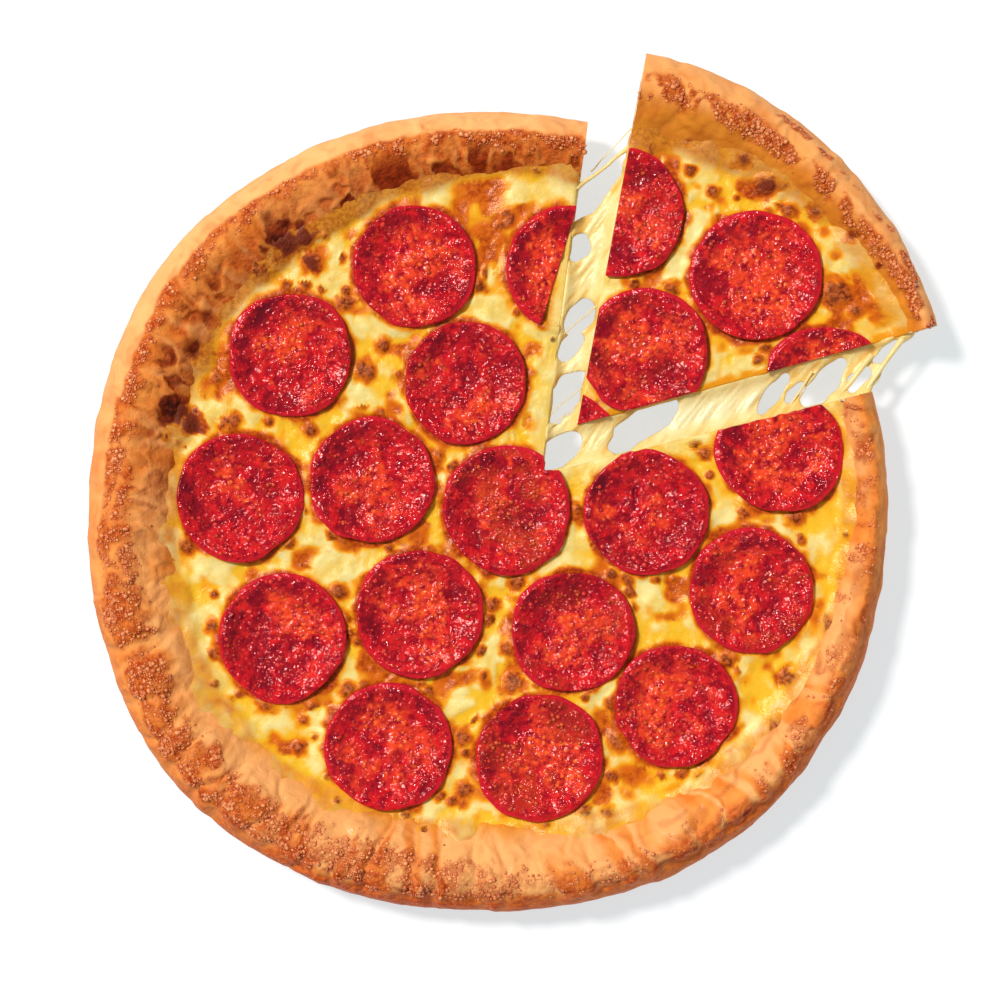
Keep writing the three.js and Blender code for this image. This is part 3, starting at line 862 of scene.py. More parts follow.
LARGE_DISCS = [f"pepperoni_{number:02d}" for number in range(1, 17)]
SLICE_DISCS = [f"slice_pepperoni_{number:02d}" for number in range(1, 6)]


def disc_of(node):
    """Middle and radius of the disc that a node is, or was before it was cut."""
    if node in CUT_DISCS:
        return CUT_DISCS[node]
    low, high = box_mm(node)
    middle = (low + high) / 2
    return middle[0], middle[1], (high[0] - low[0]) / 2


def beyond_discs(x, y, nodes):
    """Distance to the nearest disc's edge, negative under a disc."""
    gaps = [np.hypot(x - cx, y - cy) - radius for cx, cy, radius in map(disc_of, nodes)]
    return np.min(gaps, axis=0)


def in_notch(x, y):
    """Depth inside the open notch between the two cuts of the large piece."""
    left = left_of(x, y, NOTCH_CORNER, heading(NOTCH_DEG[0]))
    right = -left_of(x, y, NOTCH_CORNER, heading(NOTCH_DEG[1]))
    return np.minimum(left, right)


def in_slice(x, y):
    """Depth inside the slice's two straight edges."""
    left = left_of(x, y, SLICE_TIP, heading(SLICE_DEG[0]))
    right = -left_of(x, y, SLICE_TIP, heading(SLICE_DEG[1]))
    return np.minimum(left, right)


# ---- Cheese ------------------------------------------------------------------------------------------

CHEESE_FOOT = 14.8
SPILL = 8.5

TOASTED_SPOTS = [
    (-86.1, 43.4, 2.2), (-38.7, 45.9, 3.4), (-7.4, -71.8, 3.0), (42.9, 89.1, 2.0), (112.5, 70.5, 4.6),
    (-6.7, -88.5, 2.6), (-56.3, 26.7, 2.4), (8.6, -54.2, 3.6), (98.9, -0.5, 3.2), (-45.0, -9.0, 2.4),
    (-55.7, 80.5, 3.6), (7.0, 94.0, 3.0), (-70.4, -60.5, 3.0), (45.0, -21.0, 2.2), (70.0, 19.0, 2.0),
    (-3.0, -28.0, 2.6), (73.0, 103.0, 2.0), (-60.0, -75.0, 2.2), (77.0, -47.0, 2.4), (40.0, -84.0, 2.2),
    (89.0, 105.5, 3.8), (60.0, 101.0, 2.2), (117.0, 55.0, 2.0), (64.0, 30.0, 1.8),
]


def pocket_gap(part, x, y):
    """How far a point lies beyond the rim's inner edge, negative over the filling, and its angle."""
    origin = np.zeros(2) if part is LargePiece else SLICE_TIP
    angle = np.arctan2(y - origin[1], x - origin[0])
    if part is LargePiece:
        angle = np.where(angle < math.radians(35), angle + 2 * math.pi, angle)
    return np.hypot(x - origin[0], y - origin[1]) - part.outline(angle) + part.rim_width(angle), angle


def cut_gap(part, x, y):
    """Distance of a point of the filling to the nearest cut."""
    return -in_notch(x, y) if part is LargePiece else in_slice(x, y)


def cheese_surface(part, x, y):
    """Height of the melted cheese and where it is oily, orange, toasted or burnt. The level has slow
    swells and islands, domes at the toasted spots, a rise at each disc's edge and up the rim, and a
    rounded fall to each cut."""
    flat = planar(x, y)
    shape = np.shape(x)
    swell = fractal(flat, 19.0, 2, 101).reshape(shape)
    warp = flat + 2.2 * shifts(flat, 6.0, 103)
    island = fractal(warp, 8.5, 3, 105).reshape(shape)
    fine = fractal(flat, 2.6, 2, 107).reshape(shape)
    nodes = LARGE_DISCS if part is LargePiece else SLICE_DISCS
    gap = beyond_discs(x, y, nodes)
    rim, angle = pocket_gap(part, x, y)
    cut = cut_gap(part, x, y)
    relief = 0.35 + 0.65 * step(0.0, 5.0, cut)
    height = CHEESE_LEVEL - 0.2 + relief * (0.3 * swell + 0.55 * island + 0.16 * fine)
    near = np.exp(-(np.maximum(gap, 0) / 2.2) ** 2)
    height += near * (0.55 + 0.3 * island) * (gap > -1.5)
    under = 1 - step(-2.5, -0.8, gap)
    height = height * (1 - under) + (CHEESE_LEVEL - 0.1) * under
    climb = np.maximum(rim + 2.5, 0)
    along = planar(angle * 100, climb * 0.5)
    edge_wave = fractal(along, 11.0, 2, 109).reshape(shape)
    height += 0.3 * climb + 0.9 * edge_wave * step(0, 3.0, climb)
    bare = 1 - step(-2.5, 0.0, web_depth(x, y))
    height -= (0.12 + 0.5 * bare) * (1 - step(0.0, 2.0, cut)) ** 1.5

    spots = np.full(shape, -9.0)
    for sx, sy, radius in TOASTED_SPOTS:
        reach = np.hypot(x - sx, y - sy) / radius
        spots = np.maximum(spots, 1 - reach ** 2)
    few, _, number = cells(flat, 14.0, 111, flat=True)
    few, number = few.reshape(shape), number.reshape(shape)
    scattered = np.where(number > 0.5, 1 - (few * 14.0 / (3.8 * number - 0.9)) ** 2, -9)
    clear = step(0.2, 1.2, gap) * step(0.5, 2.5, cut)
    spots = np.maximum(spots, scattered)
    few, _, number = cells(flat, 6.0, 119, flat=True)
    few, number = few.reshape(shape), number.reshape(shape)
    small = np.where(number > 0.82, 1 - (few * 6.0 / (6.0 * number - 3.8)) ** 2, -9)
    spots = np.maximum(spots, small + (gap > 4.0) * -9)
    dome = np.clip(spots, 0, 1) * clear
    height += 1.05 * np.sqrt(dome)

    rough = fractal(flat, 2.0, 2, 113).reshape(shape)
    ragged = spots + 0.5 * rough * (spots > -0.6)
    toast = step(0.12, 0.6, ragged) * clear * 0.9
    calm = step(0.5, 6.5, cut + 2.0 * swell)
    large = part is LargePiece
    side = 0.5 + 0.5 * np.cos(angle - math.radians(125)) if large else 0.4 + 0.5 * slice_share(angle)
    wavy = rim + 1.6 * edge_wave
    amber = step(-1.2, 1.2, wavy) * (0.6 + 0.3 * fine) if large else step(-5.0, 1.0, wavy) * side
    # Painted shadow of the rim on the cheese beside it: on the large piece mostly at the upper left, on the
    # slice growing towards its left edge.
    painted_rim_shadow = (0.3 * step(-4.0, 0.0, wavy) + 0.5 * step(-1.0, 1.5, wavy)) * side ** (4 if large else 2)
    open_part = 1 - step(-3.0, 0.5, wavy)
    oil = step(0.35, -0.35, island + 0.3 * fine) * (0.35 + 0.6 * calm)
    pool = fractal(flat, 5.0, 2, 115).reshape(shape)
    ring = np.exp(-np.maximum(gap, 0) / 2.4) + 0.35 * pool
    orange = step(0.3, 0.95, ring)
    patches = fractal(flat, 7.5, 2, 117).reshape(shape) - 0.35 * island
    orange = np.maximum(orange, step(0.0, 0.8, patches) * 0.9)
    orange = np.maximum(orange, step(-2.2, 0.2, spots + 0.8 * rough) * 0.9 * clear)
    orange = orange * (0.15 + 0.85 * calm)
    # The ring hugging each disc is partly browned fat and partly painted contact shadow.
    near_disc = np.exp(-np.maximum(gap, 0) / 1.2) + 0.5 * pool + 0.2 * rough
    rust = step(0.5, 1.1, near_disc) * calm
    rust = np.maximum(rust, step(0.6, 1.2, patches + 0.5 * rough) * 0.8 * calm) * open_part
    orange = orange * (0.3 + 0.7 * open_part)
    if not large:
        belt = (1 - step(0.8, 3.4, cut + fine)) * (1 - step(0.35, 0.55, slice_share(angle)))
        orange = np.maximum(orange, 0.6 * belt)
    burnt = spot_mask(x, y, BURNT_SPOTS, 81)
    orange = np.maximum(orange, step(0.0, 0.15, burnt))
    rust = np.maximum(rust, step(0.05, 0.3, burnt))
    char = 0.75 * step(0.15, 0.7, burnt)
    bubble, _, _ = cells(flat, 2.7, 123, flat=True)
    height += char * (1.5 * (0.5 - bubble.reshape(shape)) + 0.6 * rough)
    return height, {"oil": oil, "orange": orange, "amber": amber, "toast": toast, "char": char,
                    "painted_rim_shadow": painted_rim_shadow, "rust": rust}


def cheese_outline(part, columns):
    """The filling's edge: out along the first cut, round inside the rim, and back along the other."""
    cut_columns, arc_columns = columns

    def radius_at(angle):
        return part.outline(angle) - part.rim_width(angle) + SPILL

    angles = part.angles(radius_at, arc_columns)
    from_end = np.minimum(np.arange(arc_columns), np.arange(arc_columns)[::-1]) / arc_columns
    spill = SPILL * (1 - step(0.0, 0.012, from_end)) * 0.75
    x, y = part.spot(radius_at(angles) - spill, angles)
    arc = np.stack([x, y], axis=1)
    corner = np.array(part.corner)
    share = np.linspace(0, 1, cut_columns, endpoint=False)[:, None]
    first = corner + (arc[0] - corner) * share
    last = arc[-1] + (corner - arc[-1]) * share
    return np.concatenate([first, arc[:-1], last])


def star_piece(name, middle, top, below, ends, fields, kept_share, finish, node, sharp_deg):
    """A closed piece about an upright line: rings over its top, then below its edge, and a fan to
    the middle at both ends. Below the edge a field is a share of its value there."""
    store = Points()
    pole = store.add(np.array([[*middle, ends[0]]]))[0]
    whole = np.concatenate([store.add(top), store.add(below)])
    under = store.add(np.array([[*middle, ends[1]]]))[0]
    whole = np.concatenate([whole, whole[:, :1]], axis=1)
    groups = [
        (grid_quads(whole)[:, ::-1], 0),
        (fan(pole, whole[0]), 0),
        (fan(under, whole[-1])[:, ::-1], 0),
    ]
    all_fields = {}
    for key, values in fields.items():
        rest = np.tile(values[-1], len(below)) * kept_share
        all_fields[key] = np.concatenate([[0], values.ravel(), rest, [0]])
    add_piece(name, store.all(), groups, [finish], all_fields, [node], sharp_deg=sharp_deg)


def cheese_piece(part, name, columns, rows, finish):
    """The cheese's top is laid on lines from a hub to each point of the outline. Its wall bulges a
    little on the way down, and a fan closes the underside."""
    hub = part.hub
    ring = cheese_outline(part, columns)
    even = np.linspace(0, 1, rows)[1:]
    share = np.sqrt(even) * 0.35 + even * 0.65
    flat = hub + (ring - hub)[None] * share[:, None, None]
    height, fields = cheese_surface(part, flat[..., 0], flat[..., 1])
    middle_height, _ = cheese_surface(part, hub[:1], hub[1:])
    tangent = np.roll(ring, -1, axis=0) - np.roll(ring, 1, axis=0)
    outward = np.stack([tangent[:, 1], -tangent[:, 0]], axis=1)
    outward /= np.linalg.norm(outward, axis=1, keepdims=True)
    outward *= np.sign((outward * (ring - hub)).sum(axis=1, keepdims=True))
    down = np.linspace(0, 1, 8)[1:]
    edge = height[-1]
    wave = 0.5 + 0.5 * noise(planar(ring[:, 0], ring[:, 1]), 5.0, 121)
    wall = np.zeros((len(down), len(ring), 3))
    for row, part_down in enumerate(down):
        bulge = (math.sin(math.pi * min(part_down, 0.9)) * (0.3 + 0.7 * wave))[:, None]
        wall[row, :, :2] = ring + outward * bulge
        wall[row, :, 2] = edge + (CHEESE_FOOT - edge) * part_down
    top = np.concatenate([flat, height[..., None]], axis=2)
    ends = (middle_height[0], CHEESE_FOOT)
    star_piece(name, hub, top, wall, ends, fields, 0.5, finish, "cheese", 80)


# ---- Pepperoni -------------------------------------------------------------------------------------------

def kept_part(node):
    """The test that tells which points of a disc are still there after the cuts."""
    cx, cy, radius = disc_of(node)
    seed = 200 + (LARGE_DISCS + SLICE_DISCS).index(node)

    def kept(x, y):
        angle = np.arctan2(y - cy, x - cx)
        turn = planar(np.cos(angle) * 9, np.sin(angle) * 9)
        wave = 0.036 * noise(turn, 7.0, seed) + 0.022 * noise(turn, 2.6, seed + 50)
        inside = np.hypot(x - cx, y - cy) < radius * (0.992 + wave)
        if node in SLICE_DISCS:
            inside &= in_slice(x, y) > 0
        else:
            torn = 1.1 if node == "pepperoni_07" else 0.25
            inside &= in_notch(x, y) < torn * noise(planar(x, y), 2.0, seed)
        if node == "pepperoni_02":
            start, end = COVER_LINE
            inside &= left_of(x, y, start, (end - start) / np.linalg.norm(end - start)) > 0
        return inside
    return kept


def inner_middle(kept, cx, cy, radius):
    """The mean of the kept points of a fine square grid over the disc."""
    line = np.linspace(-1, 1, 61) * radius
    x, y = np.meshgrid(cx + line, cy + line)
    inside = kept(x.ravel(), y.ravel())
    return np.array([x.ravel()[inside].mean(), y.ravel()[inside].mean()])


def walk_out(kept, middle, angles, reach):
    """Radius in each direction at which the kept part ends, halving the doubt again and again."""
    low, high = np.zeros(len(angles)), np.full(len(angles), reach)
    for _ in range(20):
        half = (low + high) / 2
        inside = kept(middle[0] + half * np.cos(angles), middle[1] + half * np.sin(angles))
        low, high = np.where(inside, half, low), np.where(inside, high, half)
    return low


SLICE_THICK = 1.7

# Discs that carry more toasted crumbs than the rest, and how many.
RUSTY = {"pepperoni_07": 1.0, "pepperoni_10": 0.8, "pepperoni_13": 0.7, "pepperoni_16": 1.0,
         "slice_pepperoni_03": 0.7, "slice_pepperoni_01": 0.4}


def disc_surface(node, x, y):
    """Height of a baked disc: a shallow cup whose lip stands higher where it curled, with a rough,
    pitted top. Also where it is dark (painted shade in a crescent on the cup's upper left slope,
    and darker where the top lies low), fatty or edge."""
    cx, cy, radius = disc_of(node)
    seed = 300 + 7 * (LARGE_DISCS + SLICE_DISCS).index(node)
    shape = np.shape(x)
    flat = planar(x, y)
    out = np.hypot(x - cx, y - cy) / radius
    angle = np.arctan2(y - cy, x - cx)
    turn = planar(np.cos(angle) * 9, np.sin(angle) * 9)
    curl = (1 + 0.45 * noise(turn, 8.0, seed)).reshape(shape)
    warp = flat + 1.4 * shifts(flat, 5.0, seed + 1)
    swell = fractal(warp, 9.0, 2, seed + 3).reshape(shape)
    lumps = fractal(warp, 3.4, 2, seed + 4).reshape(shape)
    near, _, _ = cells(warp, 1.7, seed + 5, flat=True)
    pebble = (0.5 - near).reshape(shape)
    inner = 1 - step(0.86, 0.97, out)
    cup = 2.1 * curl * step(0.45, 0.96, out) ** 1.3 - 0.5 * curl * step(0.93, 1.0, out)
    height = CHEESE_LEVEL + 0.75 + cup + inner * (0.35 * swell + 0.36 * lumps + 0.3 * pebble)
    height += (1 - inner) * 0.12 * lumps
    # Painted shade: a dark crescent on the inner slope of the cup at the upper left, where the lip shades it
    # from the light.
    toward = np.cos(angle - math.radians(135))
    shadow = step(0.55, 0.8, out) * (1 - step(0.9, 0.98, out)) * step(-0.2, 0.9, toward + 0.4 * swell)
    dark = 0.6 * shadow * step(-0.3, 0.5, lumps + 0.2) + 0.5 * step(0.3, 0.9, -swell - 0.4 * lumps)
    dark = np.clip(dark, 0, 1)
    fat = (1 - step(0.5, 0.9, out + 0.2 * lumps)) * step(-0.3, 0.5, swell + 0.4 * lumps)
    edge = step(0.93, 0.975, out)
    crumbly = RUSTY.get(node, 0.12)
    rust = crumbly * step(0.0, 0.5, fractal(flat, 7.0, 2, seed + 6).reshape(shape)) * (1 - edge)
    return height, {"dark": dark * (1 - edge), "fat": fat, "edge": edge, "rust": rust}


def pepperoni_piece(node, columns, rows, finish):
    """A baked disc: its top on lines from an inner middle to its edge, a rounded lip, and an
    underside that follows the cup at one thickness."""
    cx, cy, radius = disc_of(node)
    kept = kept_part(node)
    middle = inner_middle(kept, cx, cy, radius)
    angles = np.linspace(-math.pi, math.pi, columns, endpoint=False)
    reach = walk_out(kept, middle, angles, 2 * radius)
    ring = middle + reach[:, None] * np.stack([np.cos(angles), np.sin(angles)], axis=1)
    share = np.linspace(0, 1, rows)[1:] ** 0.85
    inset = 0.45 / radius
    share = share * (1 - inset)
    flat = middle + (ring - middle)[None] * share[:, None, None]
    height, fields = disc_surface(node, flat[..., 0], flat[..., 1])
    pole_height, _ = disc_surface(node, middle[:1], middle[1:])
    top = np.concatenate([flat, height[..., None]], axis=2)
    lip = np.array([[0.55, 0.12], [0.9, 0.45], [1.0, 0.95], [0.8, 1.45], [0.3, SLICE_THICK]])
    rows_out = np.zeros((len(lip), columns, 3))
    for row, (out, drop) in enumerate(lip):
        rows_out[row, :, :2] = middle + (ring - middle) * (1 - inset + inset * out)
        rows_out[row, :, 2] = height[-1] - drop
    low_share = np.linspace(0.93, 0.1, 8)
    low = middle + (ring - middle)[None] * low_share[:, None, None]
    low_height, _ = disc_surface(node, low[..., 0], low[..., 1])
    low_height = np.maximum(low_height - SLICE_THICK, CHEESE_LEVEL - 1.2)
    below = np.concatenate([rows_out, np.concatenate([low, low_height[..., None]], axis=2)])
    ends = (pole_height[0], low_height.min())
    star_piece("baked_" + node, middle, top, below, ends, fields, 1.0, finish, node, 75)


# ---- Scattered grains --------------------------------------------------------------------------------

BALL_SIDES = 5
BALL_RINGS = (35, 75, 118)


def picked(points, weights, spacing, count, seed):
    """Numbers of points chosen by weight, at most one in each small cube of the given spacing."""
    draw = np.random.default_rng(seed)
    chance = draw.random(len(points)) < weights
    able = np.flatnonzero(chance)
    draw.shuffle(able)
    cube = np.floor(points[able] / spacing).astype(np.int64)
    _, first = np.unique(cube, axis=0, return_index=True)
    first = np.sort(first)[:count]
    return able[first]


def grains_piece(name, centres, normals, radii, flatten, finish, seed):
    """Small lumps of a few faces each: rings of a ball about the surface's normal, flattened along
    it and jittered. Their painted tip highlight runs from 0 at the foot to 1 at the tip, at a random
    strength for each grain."""
    draw = np.random.default_rng(seed)
    side = np.cross(normals, [0.37, 0.91, 0.18])
    side /= np.linalg.norm(side, axis=1, keepdims=True)
    other = np.cross(normals, side)
    turns = np.arange(BALL_SIDES) / BALL_SIDES * 2 * math.pi
    unit = [[0, 0, 1.0]]
    for ring in BALL_RINGS:
        polar = math.radians(ring)
        wide, high = math.sin(polar), math.cos(polar)
        unit += [[wide * math.cos(turn), wide * math.sin(turn), high] for turn in turns]
    unit += [[0, 0, -0.8]]
    unit = np.array(unit)
    count, per = len(centres), len(unit)
    shape = unit[None] * (1 + 0.22 * (draw.random((count, per, 1)) - 0.5)) * radii[:, None, None]
    points = centres[:, None] + shape[..., :1] * side[:, None] + shape[..., 1:2] * other[:, None]
    points = points + shape[..., 2:] * flatten * normals[:, None]
    numbers = np.arange(1, 1 + 3 * BALL_SIDES).reshape(3, BALL_SIDES)
    numbers = np.concatenate([numbers, numbers[:, :1]], axis=1)
    quads = grid_quads(numbers)[:, ::-1]
    caps = np.concatenate([fan(0, numbers[0]), fan(per - 1, numbers[-1])[:, ::-1]])
    shift = (np.arange(count) * per)[:, None, None]
    groups = [((quads[None] + shift).reshape(-1, 4), 0), ((caps[None] + shift).reshape(-1, 3), 0)]
    # Painted highlight at the top of each grain, at a random strength for each grain.
    tip = np.clip(unit[:, 2] * 1.4 - 0.2, 0, 1)
    tip_highlight = (tip * (0.25 + 0.75 * draw.random((count, 1)) ** 1.5)).ravel()
    add_piece(name, points.reshape(-1, 3), groups, [finish], {"tip_highlight": tip_highlight})


def blisters(name, rim, finish, count, seed, side=None):
    """Blisters of the crust: grains where the rim's bead patches are, on one side of a line if asked."""
    points, normals, bead = rim
    if side is not None:
        bead = bead * ((points[:, 0] - points[:, 1]) * side > 0)
    clump = 0.5 + 0.5 * fractal(points, 2.2, 2, seed + 3)
    few = picked(points, bead * clump * 1.5, 0.7, count, seed)
    draw = np.random.default_rng(seed + 1)
    radii = (0.26 + 0.72 * draw.random(len(few)) ** 3) * (0.5 + 0.5 * bead[few])
    place = points[few] + 0.3 * (draw.random((len(few), 3)) - 0.5)
    grains_piece(name, place, normals[few], radii, 0.62, finish, seed + 2)


def disc_grains(name, counts, low, finish, flatten, sizes, seed):
    """Grains on the inside of each cup, in clusters where a slow noise passes a low value."""
    draw = np.random.default_rng(seed)
    places = []
    for node in LARGE_DISCS + SLICE_DISCS:
        cx, cy, radius = disc_of(node)
        count = counts[node]
        turn = draw.random(count) * 2 * math.pi
        reach = radius * 0.93 * np.sqrt(draw.random(count))
        x, y = cx + reach * np.cos(turn), cy + reach * np.sin(turn)
        cluster = fractal(planar(x, y), 7.0, 2, 300 + 7 * (LARGE_DISCS + SLICE_DISCS).index(node) + 6)
        kept = kept_part(node)(x, y) & (cluster > low + 0.4 * draw.random(count))
        if node in CUT_DISCS:
            kept &= np.minimum(np.abs(in_notch(x, y)), np.abs(in_slice(x, y))) > 0.8
        x, y = x[kept], y[kept]
        reach = 0.3
        height, _ = disc_surface(node, x, y)
        slope_x = (disc_surface(node, x + reach, y)[0] - disc_surface(node, x - reach, y)[0]) / (2 * reach)
        slope_y = (disc_surface(node, x, y + reach)[0] - disc_surface(node, x, y - reach)[0]) / (2 * reach)
        places.append(np.stack([x, y, height, -slope_x, -slope_y], axis=1))
    table = np.concatenate(places)
    normals = np.concatenate([table[:, 3:], np.ones((len(table), 1))], axis=1)
    normals /= np.linalg.norm(normals, axis=1, keepdims=True)
    radii = sizes[0] + sizes[1] * draw.random(len(table)) ** 2.5
    grains_piece(name, table[:, :3], normals, radii, flatten, finish, seed + 1)


# ---- Stretched cheese ------------------------------------------------------------------------------------

# Holes in the stretched sheet: middle, half length, half width and the tilt of the length.
WEB_HOLES = [
    (30.1, 85.1, 4.5, 2.9, 65), (30.1, 62.9, 6.4, 4.0, 50), (26.9, 53.6, 5.2, 2.9, 50),
    (25.6, 37.3, 9.9, 4.5, 55), (23.3, 19.6, 9.0, 4.6, 38), (50.2, 28.2, 13.8, 4.6, 36),
    (92.2, 38.4, 7.3, 2.6, 53), (98.9, 38.6, 4.5, 1.6, 50), (108.5, 42.1, 10.0, 3.7, 47),
    (119.4, 42.7, 5.4, 2.2, 50), (128.3, 51.5, 5.1, 1.9, 46),
]
LEFT_LIMIT = np.array([[20, 93], [28.5, 94.1], [34.2, 96.2], [37.4, 100.4], [40.1, 105.2], [43.8, 109.9],
                       [44.9, 114.7], [48, 122]])
RIGHT_LIMIT = np.array([[138, 58], [133, 54.2], [127.7, 47.8], [124.5, 40.2], [122, 34]])
WEB_ROOT = 2.6
WEB_STEP = 0.36
PULL_DEG = 52


def beyond_line(x, y, line):
    """Distance to a line of several stretches, positive to the right of its way."""
    best = np.full(np.shape(x), 1e9)
    for start, end in zip(line[:-1], line[1:]):
        way = (end - start) / np.linalg.norm(end - start)
        along = np.clip((x - start[0]) * way[0] + (y - start[1]) * way[1], 0, np.linalg.norm(end - start))
        away = np.hypot(x - start[0] - along * way[0], y - start[1] - along * way[1])
        signed = away * np.where(left_of(x, y, start, way) > 0, -1, 1)
        best = np.where(away < np.abs(best), signed, best)
    return best


def web_depth(x, y):
    """Distance inside the stretched sheet: between the two pieces with a root in each, short of its
    two free edges, and outside its holes, whose coordinates are shaken a little."""
    flat = planar(x, y)
    shape = np.shape(x)
    shake_x = x + 0.7 * noise(flat, 4.0, 401).reshape(shape)
    shake_y = y + 0.7 * noise(flat, 4.0, 402).reshape(shape)
    depth = np.minimum(in_notch(x, y) + WEB_ROOT, WEB_ROOT - in_slice(x, y))
    depth = np.minimum(depth, beyond_line(shake_x, shake_y, LEFT_LIMIT))
    depth = np.minimum(depth, beyond_line(shake_x, shake_y, RIGHT_LIMIT))
    for hx, hy, half_length, half_width, tilt in WEB_HOLES:
        way = heading(tilt)
        along = (shake_x - hx) * way[0] + (shake_y - hy) * way[1]
        aside = -(shake_x - hx) * way[1] + (shake_y - hy) * way[0]
        reach = (np.abs(along / half_length) ** 2.4 + np.abs(aside / half_width) ** 2) ** 0.45
        depth = np.minimum(depth, (reach - 1) * half_width)
    return depth


def web_heights(x, y, depth):
    """Top and underside of the sheet. It sags between its roots, is thick at them, has ridges along
    the pull, and thins to nothing at every free edge by a quarter of an ellipse."""
    shape = np.shape(x)
    from_large = np.maximum(in_notch(x, y), 0)
    from_slice = np.maximum(-in_slice(x, y), 0)
    share = from_large / np.maximum(from_large + from_slice, 1e-6)
    sag = 4 * share * (1 - share)
    way = heading(PULL_DEG)
    pulled = planar((x * way[0] + y * way[1]) / 9.0, (-x * way[1] + y * way[0]) / 1.5)
    streak = fractal(pulled, 1.0, 2, 411).reshape(shape)
    thick = 0.9 + 3.4 * (1 - sag) ** 2
    root = np.maximum(np.maximum(-in_notch(x, y), in_slice(x, y)), 0)
    crown = CHEESE_LEVEL - 0.3 - 2.3 * step(0, 1, sag) + 0.4 * sag * streak - 1.7 * step(0.0, 2.0, root)
    full = np.clip(depth / 1.3, 0, 1)
    round_off = np.sqrt(1 - (1 - full) ** 2)
    middle = crown - thick / 2
    return middle + round_off * thick / 2, middle - round_off * thick / 2, sag, streak


def web_piece(finish):
    """A square net of points over the gap. Cells with a corner inside the sheet are kept, corners
    outside it are drawn onto its edge, and top and underside share the points of that edge."""
    xs = np.arange(-1, 141, WEB_STEP)
    ys = np.arange(8, 126, WEB_STEP)
    x, y = np.meshgrid(xs, ys)
    depth = web_depth(x, y)
    inside = depth > 0
    cell = inside[:-1, :-1] | inside[:-1, 1:] | inside[1:, 1:] | inside[1:, :-1]
    used = np.zeros(inside.shape, dtype=bool)
    for rows, cols in ((slice(None, -1), slice(None, -1)), (slice(None, -1), slice(1, None)),
                       (slice(1, None), slice(None, -1)), (slice(1, None), slice(1, None))):
        used[rows, cols] |= cell
    edge = used & ~inside
    px, py = x[edge], y[edge]
    reach = 0.05
    for _ in range(4):
        value = web_depth(px, py)
        slope_x = (web_depth(px + reach, py) - web_depth(px - reach, py)) / (2 * reach)
        slope_y = (web_depth(px, py + reach) - web_depth(px, py - reach)) / (2 * reach)
        length = np.maximum(slope_x ** 2 + slope_y ** 2, 0.2)
        push_x = np.clip(-value * slope_x / length, -WEB_STEP, WEB_STEP)
        push_y = np.clip(-value * slope_y / length, -WEB_STEP, WEB_STEP)
        px, py = px + push_x, py + push_y
    x[edge], y[edge] = px, py
    depth[edge] = 0
    top, low, sag, streak = web_heights(x, y, np.maximum(depth, 0))
    upper = np.full(inside.shape, -1)
    upper[used] = np.arange(used.sum())
    lower = upper.copy()
    lower[inside] = used.sum() + np.arange(inside.sum())
    points = np.concatenate([planar(x[used], y[used], top[used]), planar(x[inside], y[inside], low[inside])])
    whole = grid_quads(upper)[cell.ravel()][:, ::-1]
    under = grid_quads(lower)[cell.ravel()]
    sheet = sector_of_sheet(x, y)
    thin = np.clip(sag * (0.25 + 0.6 * sheet) + 0.25 * streak * sag, 0, 1)
    dip = step(0.0, 0.8, -streak)
    fields = {key: np.concatenate([values[used], values[inside]]) for key, values in
              (("thin", thin), ("streak", dip))}
    add_piece("cheese_web", points, [(whole, 0), (under, 0)], [finish], fields, ["cheese"])


def sector_of_sheet(x, y):
    """1 in the wide pale part of the sheet below the slice."""
    return step(48, 60, x) * (1 - step(84, 94, x)) * (y < 60)


# Single strands: the ends, the height that they sag to, and the thickness at both ends and between.
STRANDS = [
    ((18.6, 30.0), (31.5, 41.0), 17.6, 0.28, 0.16), ((20.5, 27.5), (30.5, 36.0), 17.8, 0.22, 0.14),
    ((23.5, 56.0), (35.5, 66.5), 17.5, 0.3, 0.2), ((29.0, 104.2), (46.0, 117.5), 17.4, 1.1, 0.55),
    ((33.6, 109.4), (46.8, 123.5), 17.2, 0.3, 0.16), ((109.8, 34.0), (123.6, 50.8), 17.8, 1.2, 0.8),
    ((118.6, 34.5), (133.4, 56.0), 18.2, 1.2, 0.75), ((95.0, 31.5), (104.5, 45.5), 17.6, 0.5, 0.35),
]


def strands_piece(finish):
    """Each strand is a ring of points carried along a line that hangs as a parabola; its thickness
    falls to the middle by a parabola too. Round ends are closed by a point."""
    store = Points()
    groups = []
    along = np.linspace(0, 1, 28)
    turns = np.linspace(0, 2 * math.pi, 10, endpoint=False)
    for start, end, low, thick, thin in STRANDS:
        start, end = np.array(start), np.array(end)
        way = (end - start) / np.linalg.norm(end - start)
        hang = 4 * along * (1 - along)
        wobble = 0.35 * noise(planar(along * 9 + start[0], along * 0 + start[1]), 2.0, 431) * hang
        x = start[0] + (end[0] - start[0]) * along - way[1] * wobble
        y = start[1] + (end[1] - start[1]) * along + way[0] * wobble
        z = CHEESE_LEVEL - 1.2 + (low - CHEESE_LEVEL + 1.2) * hang
        radius = (thick + (thin - thick) * np.sqrt(hang))[:, None]
        ring = np.stack([
            x[:, None] - way[1] * radius * np.cos(turns), y[:, None] + way[0] * radius * np.cos(turns),
            z[:, None] + radius * np.sin(turns),
        ], axis=2)
        numbers = store.add(ring)
        ends = store.add(np.array([[x[0], y[0], z[0]], [x[-1], y[-1], z[-1]]]))
        numbers = np.concatenate([numbers, numbers[:, :1]], axis=1)
        groups.append((grid_quads(numbers), 0))
        groups.append((fan(ends[0], numbers[0])[:, ::-1], 0))
        groups.append((fan(ends[1], numbers[-1]), 0))
    fields = {"thin": np.full(store.count, 0.3), "streak": np.full(store.count, 0.2)}
    add_piece("cheese_strands", store.all(), groups, [finish], fields, ["cheese"])


# ---- Making ----------------------------------------------------------------------------------------------

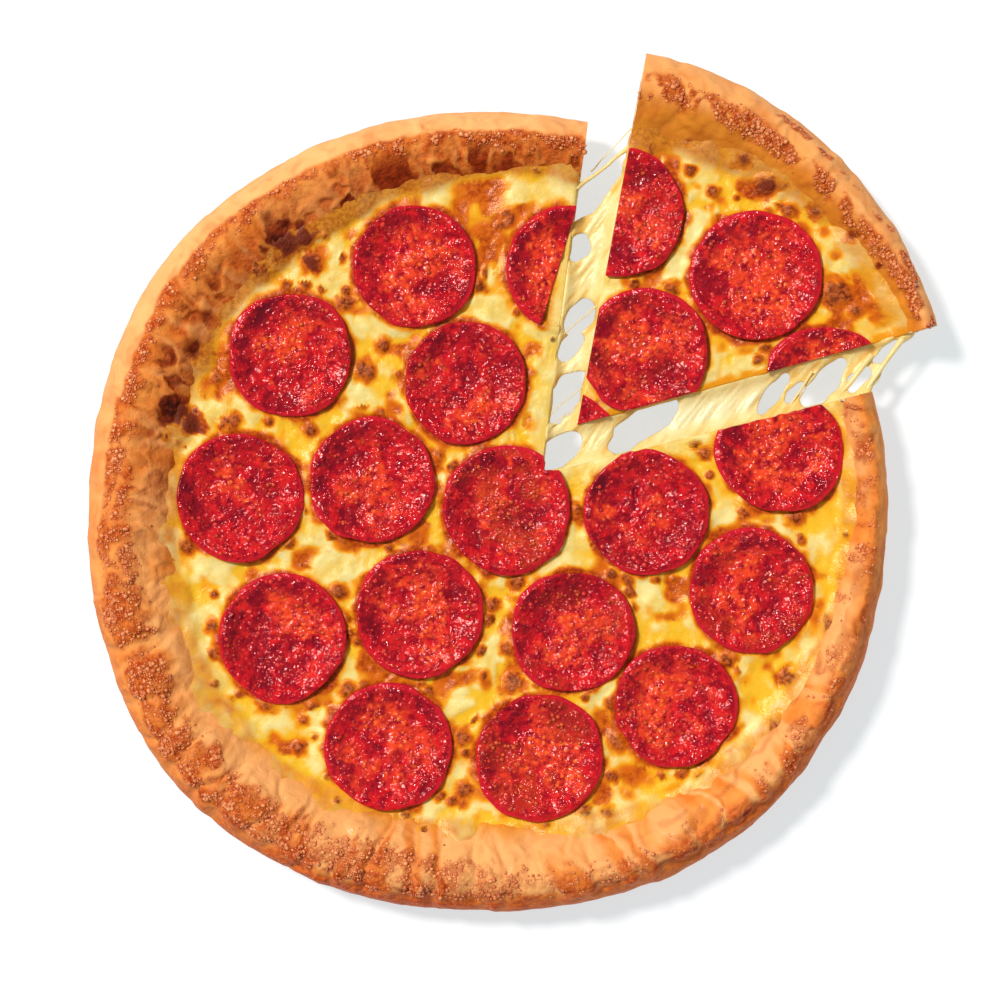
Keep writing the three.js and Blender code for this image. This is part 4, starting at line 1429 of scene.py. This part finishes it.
def main():
    crust, crumb = crust_finish(), crumb_finish()
    # Blisters: the light tips are a painted highlight, the dark feet painted shade.
    blister = grain_finish("blistered_crust", shade(252, 168, 102), shade(194, 84, 34))
    rim = crust_piece(LargePiece, "crust", 1000, 92, [crust, crumb])
    blisters("crust_blisters_left", rim, blister, 6400, 51, side=-1)
    blisters("crust_blisters_right", rim, blister, 4500, 52, side=1)
    rim = crust_piece(PulledSlice, "crust_slice", 230, 92, [crust, crumb])
    blisters("slice_blisters", rim, blister, 2400, 55)
    cheese = cheese_finish()
    cheese_piece(LargePiece, "cheese_round", (110, 520), 124, cheese)
    cheese_piece(PulledSlice, "cheese_slice", (110, 150), 60, cheese)
    stretched = web_finish()
    web_piece(stretched)
    strands_piece(stretched)
    sausage = pepperoni_finish()
    for node in LARGE_DISCS + SLICE_DISCS:
        pepperoni_piece(node, 220, 56, sausage)
    # Crumbs: the light tips are a painted highlight, the dark feet painted shade.
    crumbs = grain_finish("toasted_crumbs", shade(236, 92, 44), shade(160, 36, 20))
    many = {node: int(30 + 260 * RUSTY.get(node, 0.1)) for node in LARGE_DISCS + SLICE_DISCS}
    disc_grains("disc_crumbs", many, 0.1, crumbs, 0.8, (0.3, 0.7), 61)
    many = dict.fromkeys(many, 230)
    disc_grains("disc_bubbles", many, -0.6, bubble_finish(), 0.42, (0.3, 0.6), 65)


def light_and_camera():
    reach = 3.0
    floor_mesh = bpy.data.meshes.new("floor")
    corners = [(-reach, -reach, 0), (reach, -reach, 0), (reach, reach, 0), (-reach, reach, 0)]
    floor_mesh.from_pydata(corners, [], [(0, 1, 2, 3)])
    floor = bpy.data.objects.new("floor", floor_mesh)
    bpy.context.scene.collection.objects.link(floor)
    paper = Finish("white_paper", Roughness=0.9, Base_Color=(0.42, 0.40, 0.39, 1),
                   Emission_Color=(0.87, 0.965, 1.0, 1), Emission_Strength=0.64)
    floor_mesh.materials.append(paper.material)

    world = bpy.data.worlds.new("studio")
    bpy.context.scene.world = world
    world.use_nodes = True
    background = world.node_tree.nodes["Background"]
    background.inputs["Color"].default_value = (1, 1, 1, 1)
    background.inputs["Strength"].default_value = 0.34

    sun = bpy.data.lights.new("key", "SUN")
    sun.energy = 2.95
    sun.angle = math.radians(9)
    key = bpy.data.objects.new("key", sun)
    toward = Vector((-0.50, 0.38, 1.0))
    key.rotation_euler = toward.to_track_quat("Z", "Y").to_euler()
    bpy.context.scene.collection.objects.link(key)

    lens = bpy.data.cameras.new("camera")
    distance = 1.3
    view_width = 0.320
    lens.sensor_width = 36
    lens.lens = lens.sensor_width * distance / view_width
    lens.clip_end = 20
    camera = bpy.data.objects.new("camera", lens)
    camera.location = (0.00448, 0.00432, distance + 0.020)
    bpy.context.scene.collection.objects.link(camera)
    bpy.context.scene.camera = camera
    bpy.context.scene.view_settings.view_transform = "Standard"


main()
light_and_camera()
